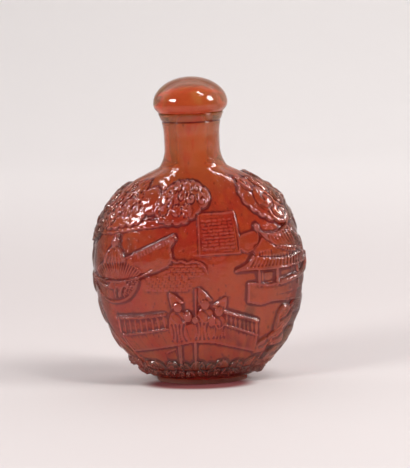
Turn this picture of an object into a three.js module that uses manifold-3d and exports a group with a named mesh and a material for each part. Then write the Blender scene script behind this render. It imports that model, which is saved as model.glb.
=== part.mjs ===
// A flattened round snuff bottle in amber, carved all round with a lake landscape, and its domed stopper.
// Millimetres, +Z up. The carved panel faces -Y. The origin is the middle of the foot's underside.
import * as THREE from 'three';
import { mergeVertices } from 'three/addons/utils/BufferGeometryUtils.js';
import { TessellateModifier } from 'three/addons/modifiers/TessellateModifier.js';
import Module from 'manifold-3d';

// Bottle, outside
const bottleHeight = 69.1;
const bodyHalfWidth = 26.9;
const bodyHalfDepth = 12.6;
const widestHeight = 29.3;
const shoulderHeight = 55.3;
const bodyDropWidth = 32.0;
const bodyDropDepth = 36.0;
const shoulderRoundness = 2.25;
const shoulderBlend = 3.0;
const footHalfWidth = 11.7;
const footHalfDepth = 7.5;
const footHeight = 1.2;
const footUndercut = 0.4;
const footEdge = 0.25;

// Neck and lip
const neckRadius = 6.75;
const neckWaistDrop = 6.1;
const neckRootRise = 4.7;
const neckRootFlare = 2.6;
const neckRootDrop = 6.0;
const lipRadius = 8.2;
const lipEdge = 0.25;
const lipCurve = 2.2;

// Hollow
const wallThickness = 3.0;
const floorThickness = 3.4;
const mouthRadius = 3.6;
const cavityBlend = 2.0;
const floorRound = 1.2;
const mouthOvercut = 1.0;

// Stopper
const stopperHeight = 8.8;
const stopperSeatRadius = 8.45;
const domeRadius = 9.25;
const domeBelly = 2.1;
const seatGap = 0.1;
const plugLength = 1.9;
const plugClearance = 0.25;
const plugEdge = 0.3;

// Facets
const bodySides = 36;
const bodyRings = 12;
const neckRings = 5;
const cavitySides = 22;
const cavityRings = 9;
const stopperSides = 26;
const domeRings = 5;
const bellyRings = 3;
const discFacets = 4;
const bulgeFacets = 2;
const broadFacetLength = 11;
const sideFacetLength = 5.6;
const facetRounds = 24;

// Carving
const stepsAround = 64;
const stepsUp = 55.3;
const reliefLow = 0.4;
const reliefMid = 0.7;
const reliefHigh = 1.0;
const tuftRaise = 0.35;
const reliefSink = 0.7;
const broadSideEdge = 27;

const wasm = await Module();
wasm.setup();

// Smooth larger of two values, rounded over the blend length where they meet.
function smoothMax(first, second, blend) {
  return (first + second + Math.hypot(first - second, blend)) / 2;
}

// Half size of the flattened round body alone at a height.
function bodyHalf(z, half, drop, rise, roundness) {
  const below = z < widestHeight;
  const share = below ? (widestHeight - z) / drop : (z - widestHeight) / rise;
  const power = below ? 2 : roundness;
  return half * (1 - Math.min(share, 1) ** power) ** (1 / power);
}

// Neck radius at a height: a waist that flares up to the lip.
function neckRadiusAt(z) {
  const up = Math.max(0, (z - bottleHeight + neckWaistDrop) / neckWaistDrop);
  return neckRadius + (lipRadius - neckRadius) * up ** lipCurve;
}

// Extra half width of the neck at a height, where it spreads onto the shoulders.
function neckSpreadAt(z) {
  const down = THREE.MathUtils.clamp((shoulderHeight + neckRootRise - z) / neckRootDrop, 0, 1);
  return neckRootFlare * down ** 2;
}

// How far the neck takes part at a height: not at all below the shoulders.
function neckShare(z) {
  const start = (widestHeight + shoulderHeight) / 2;
  return THREE.MathUtils.smoothstep(z, start, shoulderHeight);
}

// Half width and half depth of the bottle's outside at a height.
function outsideAt(z) {
  const rise = shoulderHeight - widestHeight;
  const width = bodyHalf(z, bodyHalfWidth, bodyDropWidth, rise, shoulderRoundness);
  const depth = bodyHalf(z, bodyHalfDepth, bodyDropDepth, rise, 2);
  const share = neckShare(z);
  const neck = neckRadiusAt(z);
  return {
    z,
    width: THREE.MathUtils.lerp(width, smoothMax(width, neck + neckSpreadAt(z), shoulderBlend), share),
    depth: THREE.MathUtils.lerp(depth, smoothMax(depth, neck, shoulderBlend), share),
  };
}

// Half width and half depth of the hollow at a height: the body less its wall, and the bore in the neck.
function insideAt(z) {
  const rise = shoulderHeight - widestHeight;
  const width = bodyHalf(z, bodyHalfWidth, bodyDropWidth, rise, shoulderRoundness) - wallThickness;
  const depth = bodyHalf(z, bodyHalfDepth, bodyDropDepth, rise, 2) - wallThickness;
  return {
    z,
    width: smoothMax(width, mouthRadius, cavityBlend * neckShare(z)),
    depth: smoothMax(depth, mouthRadius, cavityBlend * neckShare(z)),
  };
}

// Closed body through oval rings from the bottom up.
function ringBody(rings, sides) {
  const positions = [];
  const index = [];
  for (const ring of rings) {
    for (let side = 0; side < sides; side += 1) {
      const turn = (side / sides) * Math.PI * 2;
      positions.push(ring.width * Math.sin(turn), -ring.depth * Math.cos(turn), ring.z);
    }
  }
  for (let level = 0; level < rings.length - 1; level += 1) {
    for (let side = 0; side < sides; side += 1) {
      const next = (side + 1) % sides;
      const a = level * sides + side;
      const b = level * sides + next;
      index.push(a, b, b + sides, a, b + sides, a + sides);
    }
  }
  const bottom = positions.length / 3;
  const top = bottom + 1;
  positions.push(0, 0, rings[0].z, 0, 0, rings[rings.length - 1].z);
  const last = (rings.length - 1) * sides;
  for (let side = 0; side < sides; side += 1) {
    const next = (side + 1) % sides;
    index.push(bottom, next, side, top, last + side, last + next);
  }
  const geometry = new THREE.BufferGeometry();
  geometry.setAttribute('position', new THREE.Float32BufferAttribute(positions, 3));
  geometry.setIndex(index);
  return geometry;
}

// Manifold solid of a closed geometry.
function solidOf(geometry) {
  const bare = geometry.clone();
  bare.deleteAttribute('normal');
  bare.deleteAttribute('uv');
  const merged = mergeVertices(bare, 1e-5);
  return new wasm.Manifold(new wasm.Mesh({
    numProp: 3,
    vertProperties: Float32Array.from(merged.attributes.position.array),
    triVerts: Uint32Array.from(merged.index.array),
  }));
}

// Geometry of a manifold solid.
function geometryOf(solid) {
  const mesh = solid.getMesh();
  const geometry = new THREE.BufferGeometry();
  geometry.setAttribute('position', new THREE.BufferAttribute(Float32Array.from(mesh.vertProperties), 3));
  geometry.setIndex(new THREE.BufferAttribute(Uint32Array.from(mesh.triVerts), 1));
  geometry.computeVertexNormals();
  return geometry;
}

// Evenly spaced values, closer together towards both ends.
function easedSteps(from, to, count) {
  return Array.from({ length: count + 1 }, (_, step) => {
    const share = (1 - Math.cos((step / count) * Math.PI)) / 2;
    return THREE.MathUtils.lerp(from, to, share);
  });
}

// Outside of the bottle without its carving.
function bottleOutside() {
  const rings = [
    { z: 0, width: footHalfWidth - footEdge, depth: footHalfDepth - footEdge },
    { z: footEdge, width: footHalfWidth, depth: footHalfDepth },
    { z: footHeight, width: footHalfWidth, depth: footHalfDepth },
  ];
  const bodyStart = footHeight + footUndercut;
  rings.push(...easedSteps(bodyStart, shoulderHeight, bodyRings).map(outsideAt));
  for (let ring = 1; ring < neckRings; ring += 1) {
    rings.push(outsideAt(THREE.MathUtils.lerp(shoulderHeight, bottleHeight - lipEdge, ring / neckRings)));
  }
  const lip = outsideAt(bottleHeight);
  rings.push({ ...lip, z: bottleHeight - lipEdge });
  rings.push({ z: bottleHeight, width: lip.width - lipEdge, depth: lip.depth - lipEdge });
  return solidOf(ringBody(rings, bodySides));
}

// The hollow, from the floor out through the mouth.
function bottleHollow() {
  const rings = easedSteps(floorThickness, shoulderHeight, cavityRings).map(insideAt);
  const [floor] = rings;
  rings[0] = { z: floor.z, width: floor.width - floorRound, depth: floor.depth - floorRound };
  rings.push({ z: bottleHeight + mouthOvercut, width: mouthRadius, depth: mouthRadius });
  return solidOf(ringBody(rings, cavitySides));
}

// The domed cap on its plug, resting on the lip.
function stopperGeometry() {
  const seat = bottleHeight + seatGap;
  const plugRadius = mouthRadius - plugClearance;
  const profile = [
    new THREE.Vector2(0, seat - plugLength),
    new THREE.Vector2(plugRadius - plugEdge, seat - plugLength),
    new THREE.Vector2(plugRadius, seat - plugLength + plugEdge),
    new THREE.Vector2(plugRadius, seat),
    new THREE.Vector2(stopperSeatRadius, seat),
  ];
  const underTurn = Math.acos(stopperSeatRadius / domeRadius);
  for (let step = 1; step < bellyRings; step += 1) {
    const turn = underTurn * (1 - step / bellyRings);
    profile.push(new THREE.Vector2(
      domeRadius * Math.cos(turn),
      seat + domeBelly * (1 - Math.sin(turn) / Math.sin(underTurn)),
    ));
  }
  const rise = stopperHeight - domeBelly;
  for (let step = 0; step <= domeRings; step += 1) {
    const turn = (step / domeRings) * Math.PI / 2;
    profile.push(new THREE.Vector2(domeRadius * Math.cos(turn), seat + domeBelly + rise * Math.sin(turn)));
  }
  profile[profile.length - 1].x = 0;
  const geometry = new THREE.LatheGeometry(profile, stopperSides);
  geometry.rotateX(Math.PI / 2);
  return geometryOf(solidOf(geometry));
}

// Place on the carved surface. A place is [around, up] in carving steps of about a millimetre: around counts
// from the front's middle, positive to the right, and up counts from the foot to the shoulders.
const girthAngles = 180;
const girth = [0];
for (let step = 1; step <= girthAngles; step += 1) {
  const middle = ((step - 0.5) / girthAngles) * Math.PI;
  const stride = Math.hypot(bodyHalfWidth * Math.cos(middle), bodyHalfDepth * Math.sin(middle));
  girth.push(girth[step - 1] + (stride * Math.PI) / girthAngles);
}

// Angle round the bottle of a distance in carving steps, by equal lengths along the widest section.
function turnAt(around) {
  const lap = 2 * stepsAround;
  const wrapped = around - lap * Math.round(around / lap);
  const length = (Math.abs(wrapped) / stepsAround) * girth[girthAngles];
  let step = 1;
  while (step < girthAngles && girth[step] < length) {
    step += 1;
  }
  const share = (length - girth[step - 1]) / (girth[step] - girth[step - 1]);
  return (Math.sign(wrapped) * (step - 1 + share) * Math.PI) / girthAngles;
}

// Point at a place on the smooth outside.
function surfacePoint(around, up) {
  const ring = outsideAt((up / stepsUp) * shoulderHeight);
  const turn = turnAt(around);
  return new THREE.Vector3(ring.width * Math.sin(turn), -ring.depth * Math.cos(turn), ring.z);
}

// Point at a place and a height above the smooth outside.
function carvedPoint(around, up, height) {
  const tiny = 0.05;
  const point = surfacePoint(around, up);
  const along = surfacePoint(around + tiny, up).sub(point);
  const rise = surfacePoint(around, up + tiny).sub(point);
  return point.addScaledVector(along.cross(rise).normalize(), height);
}

// Closed patch of carving: an outline laid on the surface, sunk into the wall and raised above it.
function patch(shape, raise, curveSegments = discFacets) {
  const depth = reliefSink + raise;
  const flat = new THREE.ExtrudeGeometry(shape, { depth, bevelEnabled: false, curveSegments });
  flat.deleteAttribute('normal');
  flat.deleteAttribute('uv');
  flat.computeBoundingBox();
  const reach = Math.max(Math.abs(flat.boundingBox.min.x), Math.abs(flat.boundingBox.max.x));
  const narrow = reach > broadSideEdge && reach < 2 * stepsAround - broadSideEdge;
  const fine = new TessellateModifier(narrow ? sideFacetLength : broadFacetLength, facetRounds).modify(flat);
  const positions = fine.attributes.position;
  for (let index = 0; index < positions.count; index += 1) {
    const point = carvedPoint(positions.getX(index), positions.getY(index), positions.getZ(index) - reliefSink);
    positions.setXYZ(index, point.x, point.y, point.z);
  }
  return solidOf(fine);
}

// Outline through corners.
function outline(corners) {
  return new THREE.Shape(corners.map(([around, up]) => new THREE.Vector2(around, up)));
}

// Outline whose sides each bulge outwards, as a cloud's or a pine crown's do.
function scalloped(corners, bulge = 0.16) {
  const points = corners.map(([around, up]) => new THREE.Vector2(around, up));
  const shape = new THREE.Shape();
  shape.moveTo(points[0].x, points[0].y);
  points.forEach((start, index) => {
    const end = points[(index + 1) % points.length];
    const side = end.clone().sub(start);
    const middle = start.clone().add(end).multiplyScalar(0.5);
    const out = new THREE.Vector2(side.y, -side.x).multiplyScalar(-2 * bulge);
    shape.quadraticCurveTo(middle.x + out.x, middle.y + out.y, end.x, end.y);
  });
  return shape;
}

// Round lump.
function disc([around, up], radius) {
  const shape = new THREE.Shape();
  shape.absarc(around, up, radius, 0, Math.PI * 2);
  return shape;
}

// Straight bar between two places.
function bar([fromAround, fromUp], [toAround, toUp], width) {
  const across = new THREE.Vector2(fromUp - toUp, toAround - fromAround).setLength(width / 2);
  return outline([
    [fromAround - across.x, fromUp - across.y],
    [toAround - across.x, toUp - across.y],
    [toAround + across.x, toUp + across.y],
    [fromAround + across.x, fromUp + across.y],
  ]);
}

// Ribbon of one width along a path.
function ribbon(path, width) {
  const sides = path.map((place, index) => {
    const [fromAround, fromUp] = path[Math.max(index - 1, 0)];
    const [toAround, toUp] = path[Math.min(index + 1, path.length - 1)];
    const across = new THREE.Vector2(fromUp - toUp, toAround - fromAround).setLength(width / 2);
    return { place, across };
  });
  return outline([
    ...sides.map(({ place, across }) => [place[0] - across.x, place[1] - across.y]),
    ...sides.reverse().map(({ place, across }) => [place[0] + across.x, place[1] + across.y]),
  ]);
}

// Railing: a long panel with a row of openings between its posts. Corners run bottom left, bottom right,
// top right, top left.
function railing([lowLeft, lowRight, highRight, highLeft], openings) {
  const frame = outline([lowLeft, lowRight, highRight, highLeft]);
  for (let opening = 0; opening < openings; opening += 1) {
    const from = (opening + 0.16) / openings;
    const to = (opening + 0.84) / openings;
    const corner = (along, height) => between(
      between(lowLeft, lowRight, along),
      between(highLeft, highRight, along),
      height,
    );
    frame.holes.push(outline([corner(from, 0.2), corner(from, 0.8), corner(to, 0.8), corner(to, 0.2)]));
  }
  return frame;
}

// Place at a share of the way between two places.
function between([fromAround, fromUp], [toAround, toUp], share) {
  return [THREE.MathUtils.lerp(fromAround, toAround, share), THREE.MathUtils.lerp(fromUp, toUp, share)];
}

// Crown of a pine or a bank of cloud: a scalloped mass with round tufts on it.
function crown(corners, tufts) {
  return [
    patch(scalloped(corners), reliefHigh, bulgeFacets),
    ...tufts.map(([around, up, radius]) => patch(disc([around, up], radius), reliefHigh + tuftRaise)),
  ];
}

// Framed panel with rows of short strokes, leaning a little to the left.
function framedPanel() {
  const [left, right, low, high] = [2.3, 13.4, 33.9, 45.0];
  const lean = 0.3;
  const frameWidth = 0.6;
  const margin = 2.2;
  const [strokeLength, strokeWidth] = [2.2, 0.5];
  const [rows, columns] = [3, 3];
  const rectangle = (inset) => [
    [left + inset, low + inset],
    [right - inset, low + inset + lean],
    [right - inset, high - inset],
    [left + inset, high - inset - lean],
  ];
  const frame = outline(rectangle(0));
  frame.holes.push(outline(rectangle(frameWidth)));
  const [lowLeft, lowRight, highRight, highLeft] = rectangle(margin);
  const strokes = Array.from({ length: rows * columns }, (_, index) => {
    const along = (index % columns) / (columns - 1);
    const rise = Math.floor(index / columns) / (rows - 1);
    const [around, up] = between(between(lowLeft, lowRight, along), between(highLeft, highRight, along), rise);
    return bar([around - strokeLength / 2, up], [around + strokeLength / 2, up], strokeWidth);
  });
  return [frame, ...strokes].map((shape) => patch(shape, reliefLow));
}

// Boat with a tall curved prow, a reed shelter and its boatman.
function boat() {
  const prow = [
    [-16.4, 33.2], [-10.2, 36.2], [-3.9, 39.3], [-3.3, 38.3], [-4.7, 35.6],
    [-4.6, 33.4], [-5.6, 31.9], [-10.7, 29.8], [-16.4, 31.8],
  ];
  const shelter = [[-25.4, 28.2], [-25.0, 31.2], [-22.0, 32.3], [-17.0, 32.4], [-12.5, 30.7], [-13.8, 28.6]];
  const hull = [
    [-27.4, 27.8], [-21.8, 26.9], [-17.2, 27.1], [-13.4, 28.2], [-14.2, 25.3], [-17.2, 22.9],
    [-22.0, 21.8], [-26.5, 23.2],
  ];
  const robe = [[-22.8, 32.0], [-22.2, 34.8], [-21.2, 36.0], [-19.4, 36.0], [-18.2, 34.4], [-17.2, 32.2]];
  const gunwale = [[-28.0, 28.4], [-21.8, 27.3], [-17.2, 27.6], [-13.0, 28.8], [-9.6, 30.4]];
  return [
    patch(outline(prow), reliefMid),
    patch(outline(shelter), reliefMid),
    patch(outline(hull), reliefMid),
    patch(outline(robe), reliefHigh),
    patch(disc([-20.3, 36.9], 1.1), reliefHigh),
    patch(disc([-20.2, 38.2], 0.6), reliefHigh),
    patch(ribbon(gunwale, 0.5), reliefHigh),
    patch(bar([-17.0, 33.4], [-3.4, 39.7], 0.5), reliefHigh),
  ];
}

// Waterside pavilion on its terrace.
function pavilion() {
  const roof = [
    [17.9, 39.6], [19.0, 38.5], [22.3, 38.0], [26.8, 40.0], [28.6, 38.3], [30.6, 35.8], [29.8, 34.3],
    [25.9, 33.7], [22.2, 35.2], [19.6, 37.2],
  ];
  const gable = [
    [16.3, 34.4], [18.9, 37.8], [22.2, 35.0], [25.9, 33.9], [29.8, 34.2], [29.2, 31.0], [16.3, 31.4],
  ];
  const scoop = [
    [13.1, 38.2], [15.8, 39.1], [17.8, 39.3], [17.6, 37.2], [16.4, 35.3], [14.6, 34.5], [13.0, 35.3],
  ];
  const eave = [
    [12.0, 29.9], [14.6, 31.2], [15.9, 33.0], [20.0, 32.4], [25.0, 32.3], [30.2, 33.4], [30.6, 30.6],
    [27.9, 30.0], [22.5, 29.6], [17.8, 29.7],
  ];
  const terrace = [
    [14.5, 26.4], [19.8, 25.5], [24.0, 26.0], [29.5, 27.8], [30.6, 26.4], [30.4, 21.6], [20.6, 21.6],
    [18.0, 20.9], [14.5, 21.7],
  ];
  const posts = [[17.2, 0.8], [21.9, 1.0], [28.0, 0.9]];
  return [
    patch(outline(gable), reliefMid),
    patch(outline(roof), reliefHigh),
    patch(outline(scoop), reliefLow),
    patch(outline(eave), reliefHigh),
    patch(outline(terrace), reliefMid),
    ...posts.map(([around, width]) => patch(bar([around, 30.2], [around, 25.4], width), reliefMid)),
  ];
}

// Hooded walker in a long robe: foot place, height, and the side that the hood leans to.
function walker([around, up], height, lean) {
  const half = height * 0.19;
  const neck = up + height * 0.72;
  const robe = [
    [around - half, up], [around + half, up], [around + half * 0.85, neck - 1.4],
    [around + half * 0.45, neck], [around - half * 0.45, neck], [around - half * 0.85, neck - 1.4],
  ];
  const hood = [
    [around - half * 0.7, neck], [around + half * 0.7, neck + 0.2],
    [around + lean * height * 0.1, up + height],
  ];
  return [
    patch(outline(robe), reliefMid),
    patch(disc([around, neck + 0.7], half * 0.5), reliefHigh),
    patch(outline(hood), reliefMid),
  ];
}

// Arched plank bridge on piers, with a railing each side of the walkers.
function bridge() {
  const deck = [
    [-23.3, 12.9], [-15.0, 13.9], [-7.0, 15.2], [0.0, 16.6], [5.1, 17.2], [8.6, 16.0], [18.5, 12.7],
    [19.6, 8.4], [12.4, 9.9], [6.2, 11.2], [0.2, 11.6], [-4.4, 10.8], [-12.9, 9.6], [-21.3, 8.7],
  ];
  const railings = [
    railing([[-23.0, 13.5], [-7.2, 15.3], [-7.0, 19.0], [-21.8, 17.7]], 5),
    railing([[8.2, 16.3], [18.4, 12.9], [17.6, 16.6], [8.6, 19.5]], 4),
  ];
  const piers = [
    { top: [-4.6, 11.2], foot: [-5.6, 4.6], width: 1.4 },
    { top: [0.3, 11.9], foot: [-0.1, 4.8], width: 1.0 },
  ];
  return [
    patch(outline(deck), reliefMid),
    ...piers.map(({ top, foot, width }) => patch(bar(top, foot, width), reliefMid)),
    ...railings.map((shape) => patch(shape, reliefHigh)),
  ];
}

// Breaking wave: a thick arc with a hooked crest on the side that it leans to.
function wave([around, up], size, lean) {
  const arc = (radius, from, to, count, drop) => Array.from({ length: count + 1 }, (_, step) => {
    const turn = THREE.MathUtils.lerp(from, to, step / count) * Math.PI;
    return [around - lean * radius * Math.cos(turn), up - drop + radius * Math.sin(turn)];
  });
  const hook = [around + lean * size * 0.35, up - size * 0.1];
  const back = arc(size, 0.03, 0.97, 4, 0);
  const belly = arc(size * 0.6, 0.8, 0.1, 2, size * 0.2);
  return patch(outline([...back, hook, ...belly]), reliefMid);
}

// Carving of the front: a lake with a boat, a bridge with three walkers and a pavilion, under pines and cloud.
function frontCarving() {
  const leftPine = crown([
    [-31.6, 37.2], [-30.8, 42.0], [-28.8, 46.8], [-25.4, 50.2], [-20.4, 51.0], [-16.6, 49.6],
    [-16.9, 46.8], [-13.4, 43.6], [-19.0, 42.3], [-26.0, 41.8],
  ], [[-20.6, 48.0, 2.2], [-25.0, 45.2, 2.3], [-18.9, 44.3, 1.5]]);
  const middlePine = crown([
    [-8.9, 43.6], [-9.6, 47.4], [-7.6, 50.2], [-1.4, 51.0], [4.4, 50.4], [6.8, 48.6],
    [3.6, 46.6], [0.8, 44.2], [-4.4, 42.5],
  ], [[-5.6, 47.6, 2.0], [0.2, 48.2, 2.0], [-4.2, 44.6, 1.5]]);
  const rightCloud = crown([
    [17.3, 47.6], [19.2, 50.0], [24.0, 50.9], [29.6, 50.4], [33.6, 47.8], [33.8, 44.4],
    [29.6, 42.0], [24.8, 41.8], [21.2, 43.8], [18.6, 45.6],
  ], [[21.0, 47.6, 1.8], [26.2, 47.6, 2.2], [26.4, 44.0, 1.4]]);
  const bank = outline([
    [-4.5, 33.1], [2.5, 32.1], [3.9, 30.4], [3.8, 27.9], [0.0, 25.8], [-6.6, 24.8], [-11.9, 25.3],
    [-11.0, 28.9], [-7.5, 30.6],
  ]);
  const shore = outline([
    [20.6, 21.3], [26.0, 20.6], [31.0, 21.0], [32.5, 16.0], [31.5, 10.0], [28.0, 6.5], [23.4, 7.6],
    [19.5, 9.8], [19.6, 12.7], [22.0, 13.4], [25.4, 16.6],
  ]);
  return [
    ...leftPine,
    ...middlePine,
    ...rightCloud,
    ...framedPanel(),
    patch(bank, reliefLow),
    ...boat(),
    ...pavilion(),
    ...bridge(),
    patch(shore, reliefHigh),
    ...walker([-4.9, 11.6], 14.0, -0.6),
    ...walker([2.2, 12.0], 14.2, -0.3),
    ...walker([7.3, 12.2], 11.4, 0.5),
  ];
}

// Carving of the two narrow sides: rocks stacked above the water, under a crown of pine.
function sideCarving() {
  const rocks = [
    [[-35.5, 36.0], [-31.6, 36.8], [-29.6, 32.0], [-28.6, 28.6], [-30.4, 23.6], [-34.0, 22.4], [-38.0, 26.0]],
    [[-36.0, 21.0], [-31.0, 21.6], [-28.8, 16.0], [-30.6, 9.0], [-36.0, 8.0], [-40.0, 13.0]],
    [[31.4, 35.4], [37.0, 36.4], [40.0, 31.0], [38.4, 24.6], [33.0, 22.6], [31.6, 28.6]],
    [[31.8, 41.6], [36.6, 43.2], [40.0, 40.0], [36.0, 37.2], [31.4, 37.6]],
    [[33.6, 21.4], [38.0, 20.8], [40.4, 14.0], [37.0, 8.0], [33.4, 8.6]],
  ];
  const leftCrown = crown([
    [-45.0, 47.0], [-43.0, 51.0], [-37.5, 52.4], [-31.5, 51.4], [-30.0, 48.6], [-34.0, 45.6], [-40.0, 44.6],
  ], [[-37.8, 48.6, 2.2]]);
  const rightCrown = crown([
    [31.0, 50.6], [33.6, 52.8], [39.4, 53.0], [43.6, 50.6], [44.6, 47.2], [40.6, 45.0], [35.6, 46.2],
  ], [[38.4, 49.2, 2.2]]);
  return [...rocks.map((corners) => patch(outline(corners), reliefHigh)), ...leftCrown, ...rightCrown];
}

// Carving of the back: hills and pines over the lake, with cloud above.
function backCarving() {
  const hills = [
    [[44.0, 24.0], [47.0, 31.0], [50.5, 34.4], [54.0, 31.0], [58.0, 33.0], [62.0, 28.0], [66.0, 24.2]],
    [[60.0, 24.0], [66.0, 29.6], [71.0, 35.0], [75.0, 36.4], [79.0, 31.0], [84.5, 24.0]],
    [[43.0, 20.0], [47.0, 19.4], [52.0, 15.0], [55.0, 10.0], [50.0, 7.6], [43.0, 9.0]],
    [[74.0, 8.0], [72.0, 12.4], [77.0, 17.0], [84.0, 20.0], [86.0, 10.0]],
  ];
  const pine = crown([
    [47.6, 44.0], [47.0, 47.6], [49.6, 50.2], [54.0, 50.8], [58.0, 49.6], [59.4, 46.8], [56.0, 44.4],
    [51.6, 43.2],
  ], [[51.4, 47.4, 2.0], [55.6, 47.0, 1.9]]);
  const cloud = crown([
    [67.0, 45.0], [66.4, 48.0], [69.6, 50.4], [75.0, 50.8], [79.6, 48.6], [79.8, 45.0], [76.4, 42.8],
    [71.0, 43.0],
  ], [[70.2, 47.0, 1.9], [75.2, 46.8, 2.2]]);
  return [
    ...hills.map((corners) => patch(outline(corners), reliefMid)),
    ...pine,
    ...cloud,
  ];
}

// Waves round the base, between the foot and the scenes.
function waves() {
  const count = 10;
  return Array.from({ length: count }, (_, index) => {
    const around = ((index + 0.5) / count - 0.5) * 2 * stepsAround;
    const lean = index % 2 ? 1 : -1;
    return wave([around, 3.6 + 0.3 * lean], 3.6, lean);
  });
}

const amber = { color: 0x8e3931, roughness: 0.18, metalness: 0 };

const part = new THREE.Group();

const carving = [...frontCarving(), ...sideCarving(), ...backCarving(), ...waves()];
const carvedOutside = carving.reduce((solid, raised) => solid.add(raised), bottleOutside());
const bottle = new THREE.Mesh(
  geometryOf(carvedOutside.subtract(bottleHollow())),
  new THREE.MeshStandardMaterial(amber),
);
bottle.name = 'bottle';
part.add(bottle);

const stopper = new THREE.Mesh(stopperGeometry(), new THREE.MeshStandardMaterial(amber));
stopper.name = 'stopper';
part.add(stopper);

export default part;
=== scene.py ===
"""Visual model of a carved amber snuff bottle and its domed stopper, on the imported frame."""
from __future__ import annotations

import logging
import math
from dataclasses import dataclass, field
from enum import Enum
from typing import Protocol, Sequence

import bpy
import numpy as np
from bpy.types import Material, Node, NodeSocket, Object
from mathutils import Matrix, Vector


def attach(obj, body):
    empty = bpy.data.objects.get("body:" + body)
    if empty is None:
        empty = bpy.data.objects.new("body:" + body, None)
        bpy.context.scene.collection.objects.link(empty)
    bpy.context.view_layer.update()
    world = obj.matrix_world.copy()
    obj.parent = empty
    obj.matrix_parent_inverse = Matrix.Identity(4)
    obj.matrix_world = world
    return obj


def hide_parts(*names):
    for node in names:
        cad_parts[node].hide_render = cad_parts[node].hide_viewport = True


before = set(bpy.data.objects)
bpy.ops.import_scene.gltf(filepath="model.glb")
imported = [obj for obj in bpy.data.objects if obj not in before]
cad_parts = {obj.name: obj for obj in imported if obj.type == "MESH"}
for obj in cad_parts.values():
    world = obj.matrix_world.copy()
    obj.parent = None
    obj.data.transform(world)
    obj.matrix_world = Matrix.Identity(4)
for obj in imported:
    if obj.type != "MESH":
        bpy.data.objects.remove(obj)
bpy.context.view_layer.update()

LOG = logging.getLogger("snuff_bottle")
MM = 0.001
# Carving steps once round the bottle, about 1 mm each where it is widest. Places on the carving count
# from the middle of the front, first to the right and then up.
LAP = 128.0

Place = tuple[float, float]
Path = Sequence[Place]
Pair = tuple[Path, Path]
Span = tuple[float, float]
Color = tuple[float, float, float, float]
Array = np.ndarray
Window = tuple[slice, slice, Array, Array]
Sockets = Sequence[NodeSocket]


class Meeting(Enum):
    """How a carved shape meets what is carved already."""

    OVER = "the higher of the two stays"
    CUT = "its height is taken away"


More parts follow.
